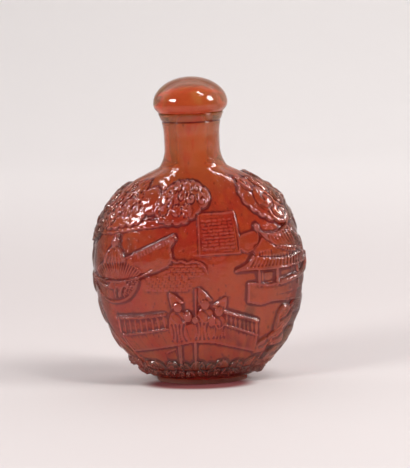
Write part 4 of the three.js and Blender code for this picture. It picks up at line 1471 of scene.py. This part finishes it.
@dataclass
class CarvedBottle:
    """The bottle: one closed skin from its foot over the carved body and the lip down into the hollow."""

    form: BottleForm = field(default_factory=BottleForm)
    front_edge: float = 34.0
    front_columns: int = 288
    back_columns: int = 128
    rows: int = 208
    thin: int = 4
    neck_rows: int = 22
    hollow_rows: int = 26
    floor_round: float = 1.2
    underside_ring: float = 0.5
    underside_inset: float = 1.6
    root_drop: float = 0.15
    root_swell: float = 0.05
    neck_start: float = 0.5
    band_rows: int = 7
    band_reach: float = 1.6
    mouth_edge: float = 0.3
    mouth_drop: float = 0.25
    throat_depth: float = 3.0
    low_fade: float = 0.5
    high_fade: float = 0.9
    # painted sheen: lifts the foot's crest so that the finish paints it in the pale highlight colour
    painted_foot_sheen: float = -0.8

    def columns(self) -> Array:
        """Spaces the columns of the skin: close together in front, wider apart behind.

        Returns:
            Their places in carving steps, from left to right.
        """
        front = np.linspace(-self.front_edge, self.front_edge, self.front_columns + 1)
        back = np.linspace(self.front_edge, LAP - self.front_edge, self.back_columns + 1)[1:-1]
        places = np.concatenate([front, back])
        return np.sort(np.where(places >= LAP / 2, places - LAP, places))

    def skin(self, columns: Array, ups: Array) -> tuple[Mesh, int, int]:
        """Makes the smooth skin.

        Args:
            columns: Places round it.
            ups: Places up the carved body.

        Returns:
            The mesh, the number of points below the carved body, and the number of points below the hollow.
        """
        form, mesh = self.form, Mesh()
        wide, deep, edge = form.foot_half_width, form.foot_half_depth, form.foot_edge
        turns = form.turn_at(columns)[:: self.thin]
        inset = edge * self.underside_inset

        def oval(width: float, depth: float, z: float) -> None:
            """Adds one oval ring."""
            mesh.ring(np.stack([width * np.sin(turns), -depth * np.cos(turns), np.full(len(turns), z)], -1))

        oval(wide * self.underside_ring, deep * self.underside_ring, 0.0)
        oval(wide - inset, deep - inset, 0.0)
        for share in (0.0, 0.25, 0.5, 0.75, 1.0):
            swing = share * math.pi / 2
            cut = edge * (1 - math.sin(swing))
            oval(wide - cut, deep - cut, edge * (1 - math.cos(swing)))
        oval(wide, deep, form.foot_height - self.root_drop)
        oval(wide + self.root_swell, deep + self.root_swell, form.foot_height)
        carved_from = mesh.count
        for up in ups:
            mesh.ring(form.surface(columns, np.full(len(columns), up)))
        lip = form.bottle_height - form.lip_edge
        band = form.band_half * np.linspace(-self.band_reach, self.band_reach, self.band_rows)
        neck = np.linspace(form.shoulder_height + self.neck_start, lip, self.neck_rows)
        for z in np.sort(np.concatenate([neck, form.band_height + band])):
            width, depth = form.outside(np.array([z]))
            cut = form.band_depth * math.exp(-((z - form.band_height) / form.band_half) ** 2)
            oval(float(width[0]) - cut, float(depth[0]) - cut, float(z))
        for share in (0.3, 0.6, 1.0):
            swing = share * math.pi / 2
            radius = form.lip_radius - form.lip_edge * (1 - math.cos(swing))
            oval(radius, radius, lip + form.lip_edge * math.sin(swing))
        rim = form.mouth_radius + self.mouth_edge
        oval(rim, rim, form.bottle_height)
        hollow_from = mesh.count
        inner = form.mouth_radius
        oval(inner, inner, form.bottle_height - self.mouth_drop)
        top, bottom = form.bottle_height - self.throat_depth, form.floor + self.floor_round
        for z in np.linspace(top, bottom, self.hollow_rows):
            width, depth = form.inside(np.array([z]))
            oval(float(width[0]), float(depth[0]), float(z))
        width, depth = (float(half[0]) - self.floor_round for half in form.inside(np.array([form.floor])))
        oval(width, depth, form.floor)
        mesh.cap((0.0, 0.0, 0.0), True)
        mesh.cap((0.0, 0.0, form.floor), False)
        return mesh, carved_from, hollow_from

    def build(self, finish: Material) -> Object:
        """Carves the bottle and gives it its finish.

        Args:
            finish: The amber.

        Returns:
            The bottle.
        """
        form = self.form
        columns = self.columns()
        ups = np.linspace(form.foot_height + form.foot_undercut, form.steps_up, self.rows)
        relief, strokes = Relief(columns, ups), Strokes()
        Landscape().carve(relief, strokes)
        LOG.info("carving: %d columns, %d rows, %d strokes", len(columns), len(ups), len(strokes.seeds))
        mesh, carved_from, hollow_from = self.skin(columns, ups)
        bottle = mesh.build("carved_bottle")
        self._store(bottle.data, relief, columns, ups, carved_from, hollow_from)
        tool = CarvingTool()
        seeds = tool.strokes_object(strokes)
        values = {"Strokes": seeds, "Softness": tool.softness, "Step": MM, "Material": finish}
        grown(bottle, tool.tree(), values)
        bpy.data.objects.remove(seeds)
        bottle.data.shade_smooth()
        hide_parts("bottle")
        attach(bottle, "root")
        return bottle

    def _store(self, mesh: bpy.types.Mesh, relief: Relief, columns: Array, ups: Array,
               carved_from: int, hollow_from: int) -> None:
        """Stores what the carving tree and the finish read.

        Args:
            mesh: The smooth skin.
            relief: The carving.
            columns: Places round the carved body.
            ups: Places up the carved body.
            carved_from: Number of points below the carved body.
            hollow_from: Number of points below the hollow.
        """
        total = len(mesh.vertices)
        body = slice(carved_from, carved_from + len(columns) * len(ups))
        around, up = np.meshgrid(columns, ups)
        place = np.tile(np.array([0.0, -1000.0, 0.0]), (total, 1))
        place[body] = np.stack([around, up, np.zeros_like(up)], -1).reshape(-1, 3)
        outward = np.zeros((total, 3))
        outward[body] = self.form.outward(around, up).reshape(-1, 3)
        height = np.zeros(total)
        height[body] = relief.height.ravel()
        carved = np.zeros(total)
        ends = smooth_step((up - ups[0]) / self.low_fade) * smooth_step((ups[-1] - up) / self.high_fade)
        carved[body] = ends.ravel()
        lining = np.zeros(total)
        lining[hollow_from:] = 1
        lining[:carved_from] = 1
        levels = np.array([vertex.co.z for vertex in mesh.vertices]) / MM
        # painted shade: the groove in the neck band is marked so that the finish darkens it
        groove = np.exp(-((levels - self.form.band_height) / self.form.band_half) ** 2)
        groove[hollow_from:] = 0
        # painted sheen: the foot gets a negative mark, which the finish turns into the pale highlight colour
        groove[:carved_from] = self.painted_foot_sheen
        for name, values in (("place", place), ("outward", outward), ("relief", height), ("carved", carved),
                             ("lining", lining), ("groove", groove)):
            store(mesh, name, values)


@dataclass
class DomedStopper:
    """The stopper: a domed cap turned round its axis, with its plug in the mouth."""

    form: BottleForm = field(default_factory=BottleForm)
    height: float = 8.8
    seat_radius: float = 8.5
    dome_radius: float = 9.45
    belly: float = 2.1
    seat_gap: float = 0.1
    plug_length: float = 1.9
    plug_clearance: float = 0.25
    plug_edge: float = 0.3
    seat_edge: float = 0.18
    plug_ring: float = 0.6
    plug_root: float = 0.2
    plug_root_swell: float = 0.15
    seat_land: float = 0.6
    sides: int = 160
    dome_rows: int = 46
    belly_rows: int = 14
    edge_rows: int = 5

    def profile(self) -> list[Place]:
        """Draws the half outline.

        Returns:
            Radius and height of each point, from the middle of the plug's end to the top of the dome.
        """
        seat = self.form.bottle_height + self.seat_gap
        plug = self.form.mouth_radius - self.plug_clearance
        low = seat - self.plug_length
        points = [(0.0, low), (plug * self.plug_ring, low), (plug - self.plug_edge, low),
                  (plug, low + self.plug_edge), (plug, seat - self.plug_root),
                  (plug + self.plug_root_swell, seat), (self.seat_radius - self.seat_land, seat)]
        for step in range(self.edge_rows + 1):
            swing = step / self.edge_rows * math.pi / 2
            points.append((self.seat_radius - self.seat_edge * (1 - math.sin(swing)),
                           seat + self.seat_edge * (1 - math.cos(swing))))
        under = math.acos(self.seat_radius / self.dome_radius)
        for step in range(1, self.belly_rows):
            turn = under * (1 - step / self.belly_rows)
            share = 1 - math.sin(turn) / math.sin(under)
            points.append((self.dome_radius * math.cos(turn),
                           seat + self.seat_edge + (self.belly - self.seat_edge) * share))
        rise = self.height - self.belly
        for step in range(self.dome_rows + 1):
            turn = step / self.dome_rows * math.pi / 2
            points.append((self.dome_radius * math.cos(turn), seat + self.belly + rise * math.sin(turn)))
        points[-1] = (0.0, points[-1][1])
        return points

    def tree(self) -> bpy.types.NodeTree:
        """Builds the tree that turns a half outline round the axis.

        Returns:
            The tree, with inputs for the sides, the rows of points and the material.
        """
        build, given = geometry_tree("Turn Profile", (
            ("Sides", "NodeSocketInt"), ("Rows", "NodeSocketInt"), ("Material", "NodeSocketMaterial")))
        position = build.node("GeometryNodeInputPosition").outputs[0]
        sheet = build.node("GeometryNodeMeshGrid", Size_X=1.0, Size_Y=1.0, Vertices_Y=given["Rows"],
                           Vertices_X=build.math("ADD", given["Sides"], 1.0))
        across, up, _ = build.parts(position)
        turn = build.times(build.math("ADD", across, 0.5), 2 * math.pi)
        row = build.times(build.math("ADD", up, 0.5),
                         build.math("SUBTRACT", given["Rows"], 1.0))
        outline = build.sample(given["Geometry"], position, build.math("ROUND", row), "FLOAT_VECTOR")
        radius, _, height = build.parts(outline)
        spot = build.node("ShaderNodeCombineXYZ", X=build.times(radius, build.math("COSINE", turn)),
                          Y=build.times(radius, build.math("SINE", turn)), Z=height)
        turned = build.node("GeometryNodeSetPosition", Geometry=sheet.outputs[0], Position=spot.outputs[0])
        closed = build.node("GeometryNodeMergeByDistance", Geometry=turned.outputs[0], Distance=1e-6)
        return build.ended(closed.outputs[0], given["Material"])

    def build(self, finish: Material) -> Object:
        """Turns the stopper and gives it its finish.

        Args:
            finish: The amber.

        Returns:
            The stopper.
        """
        points = self.profile()
        mesh = bpy.data.meshes.new("domed_stopper")
        mesh.from_pydata([(radius * MM, 0.0, z * MM) for radius, z in points],
                         [(index, index + 1) for index in range(len(points) - 1)], [])
        stopper = linked("domed_stopper", mesh)
        grown(stopper, self.tree(), {"Sides": self.sides, "Rows": len(points), "Material": finish})
        stopper.data.shade_smooth()
        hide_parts("stopper")
        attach(stopper, "root")
        return stopper


@dataclass(frozen=True)
class Fades:
    """Starts and ends of the effects: in metres from the foot or axis, then in levels of noise or crest."""

    # low, sides, the belt, bright, recess and ridge place the painted shade, painted light and painted
    # highlight in the colour
    low: Span = (0.003, 0.010)
    sides: Span = (0.020, 0.0275)
    belt_from: Span = (0.0012, 0.0020)
    belt_to: Span = (0.0040, 0.0060)
    bright: Span = (0.044, 0.060)
    veil: Span = (0.36, 0.66)
    flare: Span = (0.54, 0.68)
    speck: Span = (0.05, 0.16)
    blot: Span = (0.63, 0.74)
    recess: Span = (0.16, 0.50)
    ridge: Span = (0.60, 0.95)
    hair: Span = (0.62, 0.7)
    dull: Span = (0.3, 0.6)


@dataclass(frozen=True)
class EffectGroups:
    """Shader groups that more than one finish uses."""

    clouds: bpy.types.NodeTree
    wear: bpy.types.NodeTree

    @classmethod
    def build(cls) -> "EffectGroups":
        """Builds both groups."""
        return cls(cls._clouds(Fades()), cls._wear(Fades()))

    @staticmethod
    def _start(name: str, inputs: Sequence[tuple[str, object]],
               outputs: Sequence[tuple[str, str]]) -> tuple[NodeTree, Sockets, Sockets]:
        """Starts a shader group with its named sockets.

        Args:
            name: Its name.
            inputs: Name and first value of each input: a number, or four for a colour.
            outputs: Name and socket type of each output.

        Returns:
            The tree, what its input node gives and what its output node takes.
        """
        tree = bpy.data.node_groups.new(name, "ShaderNodeTree")
        for title, value in inputs:
            kind = "NodeSocketColor" if isinstance(value, tuple) else "NodeSocketFloat"
            tree.interface.new_socket(title, in_out="INPUT", socket_type=kind).default_value = value
        for title, kind in outputs:
            tree.interface.new_socket(title, in_out="OUTPUT", socket_type=kind)
        given, result = tree.nodes.new("NodeGroupInput"), tree.nodes.new("NodeGroupOutput")
        return NodeTree(tree), given.outputs, result.inputs

    @classmethod
    def _clouds(cls, fades: Fades) -> bpy.types.NodeTree:
        """Cloudy colour of amber with veils, flares and specks, and painted shade, highlight and neck light.

        Args:
            fades: Starts and ends of the effects.

        Returns:
            The group.
        """
        # the third and fourth colours are those of the painted shade and the painted highlight; the four
        # numbers after the colours set how much shade is painted
        build, given, result = cls._start("Amber Clouds", (
            ("Scale", 60.0), ("Deep", (0.2, 0.02, 0.01, 1)), ("Bright", (0.8, 0.2, 0.04, 1)),
            ("Recess", (0.05, 0.01, 0.01, 1)), ("Edge", (0.9, 0.5, 0.4, 1)), ("Flare", (1.0, 0.7, 0.2, 1)),
            ("Stain", 0.6), ("Low Stain", 1.0), ("Side Stain", 0.0), ("Belt Stain", 0.0), ("Crest", 0.5)),
            (("Color", "NodeSocketColor"),))
        spot = build.node("ShaderNodeTexCoord").outputs["Object"]
        drift = build.node("ShaderNodeMapping", Vector=spot, Scale=(1.0, 1.0, 0.55),
                           Rotation=(0.2, 0.35, 0.5)).outputs[0]
        veil = build.node("ShaderNodeTexNoise", Vector=drift, Scale=given["Scale"], Detail=5.0,
                          Roughness=0.55, Distortion=0.9).outputs["Fac"]
        flare = build.node("ShaderNodeTexNoise", Vector=drift, Detail=2.0, Distortion=1.6,
                           Scale=build.times(given["Scale"], 2.1)).outputs["Fac"]
        speck = build.node("ShaderNodeTexVoronoi", {"feature": "F1"}, Vector=drift,
                           Scale=build.times(given["Scale"], 6.0)).outputs["Distance"]
        blot = build.node("ShaderNodeTexNoise", Vector=drift, Detail=3.0, Roughness=0.6,
                          Scale=build.times(given["Scale"], 1.3)).outputs["Fac"]
        side, _, level = build.parts(spot)
        # painted light: more of the bright colour towards the neck and shoulders, standing in for light
        # passing through the thinner amber there
        painted_neck_light = build.range(level, *fades.bright, 0.0, 0.7)
        veil = build.math("MULTIPLY_ADD", build.range(veil, *fades.veil, 0.0, 1.0), 0.55, painted_neck_light)
        mixed = build.mix(veil, given["Deep"], given["Bright"])
        warm = build.mix(build.range(flare, *fades.flare, 0.0, 1.0), mixed, given["Flare"])
        speck = build.math("MAXIMUM", build.range(speck, *fades.speck, 0.55, 0.0),
                           build.range(blot, *fades.blot, 0.0, 0.7))
        # painted shade: where the crest is low the colour is darkened towards the recess colour, a little
        # less low down
        hollow = build.range(given["Crest"], *fades.recess, 1.0, 0.0)
        kept = build.range(level, *fades.low, given["Low Stain"], 1.0)
        hollow = build.times(build.times(hollow, given["Stain"]), kept)
        # painted shade: the narrow sides are darkened towards the recess colour
        sides = build.range(build.math("ABSOLUTE", side), *fades.sides, 0.0, given["Side Stain"])
        # painted shade: a band round the base, just above the foot, is darkened towards the recess colour
        belt = build.times(build.range(level, *fades.belt_to, given["Belt Stain"], 0.0),
                          build.range(level, *fades.belt_from, 0.0, 1.0))
        # the painted shade of recesses, sides and band is joined here with the real dark specks
        stain = build.math("MAXIMUM", hollow, sides)
        stain = build.math("MAXIMUM", build.math("MAXIMUM", speck, belt), stain)
        darkened = build.mix(stain, warm, given["Recess"])
        # painted highlight: where the crest is high the colour is mixed towards the pale edge colour
        lit = build.mix(build.range(given["Crest"], *fades.ridge, 0.0, 1.0), darkened, given["Edge"])
        build.tree.links.new(lit, result["Color"])
        return build.tree

    @classmethod
    def _wear(cls, fades: Fades) -> bpy.types.NodeTree:
        """Handling wear: smooth crests, duller recesses, hair scratches and soft tool marks.

        Args:
            fades: Starts and ends of the effects.

        Returns:
            The group.
        """
        build, given, result = cls._start("Handling Wear", (
            ("Polished", 0.1), ("Dull", 0.3), ("Scale", 90.0), ("Scratches", 0.3), ("Crest", 0.5),
            ("Lining", 0.0), ("Lining Dull", 0.5)),
            (("Roughness", "NodeSocketFloat"), ("Height", "NodeSocketFloat")))
        spot = build.node("ShaderNodeTexCoord").outputs["Object"]
        smear = build.node("ShaderNodeTexNoise", Vector=spot, Scale=given["Scale"], Detail=4.0,
                           Roughness=0.6).outputs["Fac"]
        stretched = build.node("ShaderNodeMapping", Vector=spot, Scale=(1.0, 1.0, 14.0),
                               Rotation=(0.5, 0.9, 0.3))
        hair = build.node("ShaderNodeTexNoise", Vector=stretched.outputs[0], Detail=2.0,
                          Scale=build.times(given["Scale"], 7.0)).outputs["Fac"]
        hair = build.times(build.range(hair, *fades.hair, 0.0, 1.0), given["Scratches"])
        hollow = build.range(given["Crest"], *fades.dull, 1.0, 0.0)
        dull = build.math("ADD", build.times(smear, 0.45), build.times(hollow, 0.6))
        dull = build.math("MINIMUM", build.math("ADD", dull, hair), 1.0)
        rough = build.range(dull, 0.0, 1.0, given["Polished"], given["Dull"], False)
        rough = build.range(given["Lining"], 0.0, 1.0, rough, given["Lining Dull"], False)
        dent = build.node("ShaderNodeTexNoise", Vector=spot, Detail=3.0,
                          Scale=build.times(given["Scale"], 3.2)).outputs["Fac"]
        lift = build.math("SUBTRACT", dent, build.times(hair, 0.5))
        build.tree.links.new(rough, result["Roughness"])
        build.tree.links.new(lift, result["Height"])
        return build.tree


def blank_material(name: str) -> tuple[Material, NodeTree]:
    """Starts a material with no nodes.

    Args:
        name: Its name.

    Returns:
        The material and its tree.
    """
    made = bpy.data.materials.new(name)
    made.use_nodes = True
    made.node_tree.nodes.clear()
    return made, NodeTree(made.node_tree)


@dataclass(frozen=True)
class AmberFinish:
    """Translucent amber: a cloudy body colour under a clear polish, darker where light passes farther."""

    name: str
    deep: Color
    bright: Color
    # recess is the colour of the painted shade and edge that of the painted highlight on crests
    recess: Color
    edge: Color
    flare: Color
    transmission: float
    absorb: Color
    density: float
    polished: float = 0.05
    dull: float = 0.18
    lining_dull: float = 0.7
    cloud_scale: float = 70.0
    wear_scale: float = 110.0
    scratches: float = 0.3
    # the next four set how strong the painted shade is: in the recesses, in them low down, on the narrow
    # sides and on the band round the base
    stain: float = 0.6
    low_stain: float = 1.0
    side_stain: float = 0.0
    belt_stain: float = 0.0
    bump: float = 0.12
    bump_height: float = 0.0002
    ior: float = 1.54
    carved: bool = True

    def material(self, groups: EffectGroups) -> Material:
        """Builds the material.

        Args:
            groups: The shader groups that the finishes share.

        Returns:
            The material.
        """
        made, build = blank_material(self.name)
        crest: object = 0.5
        lining: object = 0.0
        if self.carved:
            crest = build.node("ShaderNodeAttribute", {"attribute_name": "crest"}).outputs["Fac"]
            lining = build.node("ShaderNodeAttribute", {"attribute_name": "lining"}).outputs["Fac"]
        clouds = build.node("ShaderNodeGroup", {"node_tree": groups.clouds}, Scale=self.cloud_scale,
                            Deep=self.deep, Bright=self.bright, Recess=self.recess, Edge=self.edge,
                            Flare=self.flare, Stain=self.stain, Low_Stain=self.low_stain,
                            Side_Stain=self.side_stain, Belt_Stain=self.belt_stain, Crest=crest)
        wear = build.node("ShaderNodeGroup", {"node_tree": groups.wear}, Polished=self.polished,
                          Dull=self.dull, Scale=self.wear_scale, Scratches=self.scratches, Crest=crest,
                          Lining=lining, Lining_Dull=self.lining_dull)
        bump = build.node("ShaderNodeBump", Strength=self.bump, Distance=self.bump_height,
                          Height=wear.outputs["Height"])
        skin = build.node("ShaderNodeBsdfPrincipled", Base_Color=clouds.outputs["Color"],
                          Roughness=wear.outputs["Roughness"], Normal=bump.outputs[0], Metallic=0.0,
                          IOR=self.ior, Transmission_Weight=self.transmission)
        depth = build.node("ShaderNodeVolumeAbsorption", Color=self.absorb, Density=self.density)
        build.node("ShaderNodeOutputMaterial", Surface=skin.outputs[0], Volume=depth.outputs[0])
        return made


@dataclass
class Softbox:
    """Rectangular studio light, placed by its direction from the bottle as the camera sees it."""

    name: str
    azimuth: float
    elevation: float
    distance: float
    width: float
    height: float
    power: float
    aim: tuple[float, float, float] = (0.0, 0.0, 0.04)
    tint: tuple[float, float, float] = (1.0, 0.985, 0.975)

    def build(self, yaw: float) -> None:
        """Places the light.

        Args:
            yaw: The camera's direction round the bottle, in degrees from the front towards +X.
        """
        turn, lift = math.radians(yaw + self.azimuth), math.radians(self.elevation)
        ray = Vector((math.sin(turn) * math.cos(lift), -math.cos(turn) * math.cos(lift), math.sin(lift)))
        lamp = bpy.data.lights.new(self.name, "AREA")
        lamp.shape, lamp.size, lamp.size_y = "RECTANGLE", self.width, self.height
        lamp.energy, lamp.color = self.power, self.tint
        placed = linked(self.name, lamp)
        placed.location = Vector(self.aim) + ray * self.distance
        placed.rotation_euler = ray.to_track_quat("Z", "Y").to_euler()


@dataclass
class Studio:
    """Pale pink sweep, soft lights and the camera at the photograph's angle."""

    camera_distance: float = 0.480
    camera_height: float = 0.1076
    camera_tilt: float = 8.3
    camera_yaw: float = 8.0
    camera_shift: float = 0.0023
    camera_roll: float = 2.48
    focal_pixels: float = 1895.0
    frame_height: float = 468.0
    sensor: float = 36.0
    sweep_front: float = 0.9
    sweep_back: float = 0.55
    sweep_radius: float = 0.35
    sweep_steps: int = 24
    sweep_height: float = 0.9
    sweep_half_width: float = 1.0
    floor_color: Color = (0.575, 0.540, 0.528, 1.0)
    wall_color: Color = (0.88, 0.862, 0.842, 1.0)
    # painted shadow: a dark red oval painted on the floor round the foot, standing in for the bottle's shadow
    # tinted by its amber
    painted_shadow_color: Color = (0.17, 0.02, 0.024, 1.0)
    painted_shadow_scale: tuple[float, float, float] = (80.0, 170.0, 100.0)
    painted_shadow_shift: tuple[float, float, float] = (0.0, 1.1, 0.0)
    painted_shadow_fade: Span = (0.85, 1.3)
    painted_shadow_share: float = 0.95
    wall_fade: Span = (0.1, 0.6)
    tooth_scale: float = 500.0
    tooth_strength: float = 0.05
    tooth_height: float = 0.0002
    paper_roughness: float = 0.75
    world_color: Color = (1.0, 0.90, 0.945, 1.0)
    front_strength: float = 0.16
    back_strength: float = 0.56
    strength_fade: Span = (-0.6, 0.3)
    lights: Sequence[Softbox] = (
        Softbox("left_softbox", -58.0, 27.0, 0.60, 0.20, 0.12, 2.2),
        Softbox("right_softbox", 70.0, 28.0, 0.60, 0.16, 0.20, 2.6),
        Softbox("sky_panel", 180.0, 60.0, 1.5, 2.4, 1.2, 4.6, tint=(1.0, 0.93, 0.965)),
        Softbox("wall_wash", 0.0, 40.0, 0.7, 1.2, 0.5, 1.2, (0.0, 0.80, 0.03)),
        Softbox("left_card", -115.0, 34.0, 0.80, 0.5, 0.5, 0.45),
        Softbox("right_card", 115.0, 20.0, 0.80, 0.8, 0.8, 0.8),
        Softbox("top_light", 52.0, 58.0, 0.60, 0.05, 0.22, 1.1),
    )

    def _sweep(self) -> Object:
        """Builds the floor that curves up behind the bottle.

        Returns:
            The sweep, with no material yet.
        """
        line = [(-self.sweep_front, 0.0)]
        for step in range(self.sweep_steps + 1):
            turn = step / self.sweep_steps * math.pi / 2
            line.append((self.sweep_back + self.sweep_radius * math.sin(turn),
                         self.sweep_radius * (1 - math.cos(turn))))
        line.append((self.sweep_back + self.sweep_radius, self.sweep_height))
        points, faces = [], []
        for y, z in line:
            points += [(-self.sweep_half_width, y, z), (self.sweep_half_width, y, z)]
        for index in range(len(line) - 1):
            low = index * 2
            faces.append((low, low + 1, low + 3, low + 2))
        mesh = bpy.data.meshes.new("paper_sweep")
        mesh.from_pydata(points, [], faces)
        mesh.shade_smooth()
        return linked("paper_sweep", mesh)

    def _paper(self) -> Material:
        """Builds the matt paper, with a faint tooth and a painted dark red shadow round the bottle's foot.

        Returns:
            The material.
        """
        made, build = blank_material("studio_paper")
        spot = build.node("ShaderNodeTexCoord").outputs["Object"]
        tooth = build.node("ShaderNodeTexNoise", Vector=spot, Scale=self.tooth_scale, Detail=3.0)
        # painted shadow: the floor is mixed towards the dark red in an oval round the foot
        away = build.node("ShaderNodeMapping", Vector=spot, Scale=self.painted_shadow_scale, Location=self.painted_shadow_shift)
        away = build.node("ShaderNodeVectorMath", {"operation": "LENGTH"}, i0=away.outputs[0])
        painted_shadow = build.range(away.outputs["Value"], *self.painted_shadow_fade, self.painted_shadow_share, 0.0)
        floor = build.mix(painted_shadow, self.floor_color, self.painted_shadow_color)
        back = build.range(build.parts(spot)[1], *self.wall_fade, 0.0, 1.0)
        bump = build.node("ShaderNodeBump", Strength=self.tooth_strength, Distance=self.tooth_height,
                          Height=tooth.outputs["Fac"])
        paper = build.node("ShaderNodeBsdfPrincipled", Base_Color=build.mix(back, floor, self.wall_color),
                           Roughness=self.paper_roughness, Normal=bump.outputs[0])
        build.node("ShaderNodeOutputMaterial", Surface=paper.outputs[0])
        return made

    def _camera(self) -> None:
        """Places the camera as in the photograph, with its tilt and roll."""
        angles = (self.camera_yaw, self.camera_tilt, self.camera_roll)
        yaw, tilt, roll = (math.radians(angle) for angle in angles)
        forward = Vector((-math.sin(yaw) * math.cos(tilt), math.cos(yaw) * math.cos(tilt), -math.sin(tilt)))
        level = Vector((math.cos(yaw), math.sin(yaw), 0.0))
        upright = level.cross(forward)
        right = level * math.cos(roll) - upright * math.sin(roll)
        up = upright * math.cos(roll) + level * math.sin(roll)
        camera = bpy.data.cameras.new("camera")
        camera.sensor_width = self.sensor
        camera.lens = self.focal_pixels * self.sensor / self.frame_height
        camera.clip_start = 0.01
        placed = linked("camera", camera)
        spot = Vector((math.sin(yaw), -math.cos(yaw), 0.0)) * self.camera_distance
        spot.z = self.camera_height
        spot += level * self.camera_shift
        axes = Matrix((right, up, -forward)).transposed().to_4x4()
        placed.matrix_world = Matrix.Translation(spot) @ axes
        bpy.context.scene.camera = placed

    def build(self) -> None:
        """Sets up the sweep, the lights, the surroundings and the camera."""
        sweep = self._sweep()
        sweep.data.materials.append(self._paper())
        world = bpy.data.worlds.new("studio")
        world.use_nodes = True
        build = NodeTree(world.node_tree)
        depth = build.parts(build.node("ShaderNodeTexCoord").outputs["Generated"])[1]
        shade = world.node_tree.nodes["Background"]
        shade.inputs["Color"].default_value = self.world_color
        strength = build.range(depth, *self.strength_fade, self.front_strength, self.back_strength, False)
        build.tree.links.new(strength, shade.inputs["Strength"])
        bpy.context.scene.world = world
        for light in self.lights:
            light.build(self.camera_yaw)
        self._camera()
        bpy.context.scene.view_settings.view_transform = "Standard"


def finishes() -> tuple[Material, Material]:
    """Builds the two ambers.

    Returns:
        The bottle's and the stopper's.
    """
    groups = EffectGroups.build()
    # recess and edge are the colours of the painted shade and the painted highlight, and the numbers about
    # the recesses, sides and band set how much shade is painted
    carved = AmberFinish(
        "carved_amber", deep=(0.90, 0.155, 0.060, 1), bright=(1.0, 0.50, 0.12, 1),
        recess=(0.13, 0.02, 0.028, 1), edge=(1.0, 0.45, 0.31, 1), flare=(1.0, 0.30, 0.07, 1),
        transmission=0.90, absorb=(0.890, 0.60, 0.114, 1), density=700.0, stain=0.9, bump=0.3,
        low_stain=0.85, side_stain=0.6, belt_stain=0.6)
    polished = AmberFinish(
        "polished_amber", deep=(0.84, 0.11, 0.035, 1), bright=(1.0, 0.36, 0.08, 1),
        recess=(0.16, 0.07, 0.02, 1), edge=(1.0, 0.6, 0.4, 1), flare=(1.0, 0.54, 0.12, 1),
        transmission=0.85, absorb=(0.93, 0.62, 0.107, 1), density=560.0, polished=0.03, dull=0.12,
        cloud_scale=100.0, carved=False)
    return carved.material(groups), polished.material(groups)


def main() -> None:
    """Builds the bottle, the stopper and the studio."""
    logging.basicConfig(level=logging.INFO, format="%(name)s: %(message)s")
    carved, polished = finishes()
    bottle = CarvedBottle().build(carved)
    LOG.info("carved bottle: %d faces", len(bottle.data.polygons))
    stopper = DomedStopper().build(polished)
    LOG.info("domed stopper: %d faces", len(stopper.data.polygons))
    Studio().build()
    LOG.info("studio ready")


if __name__ == "__main__":
    main()
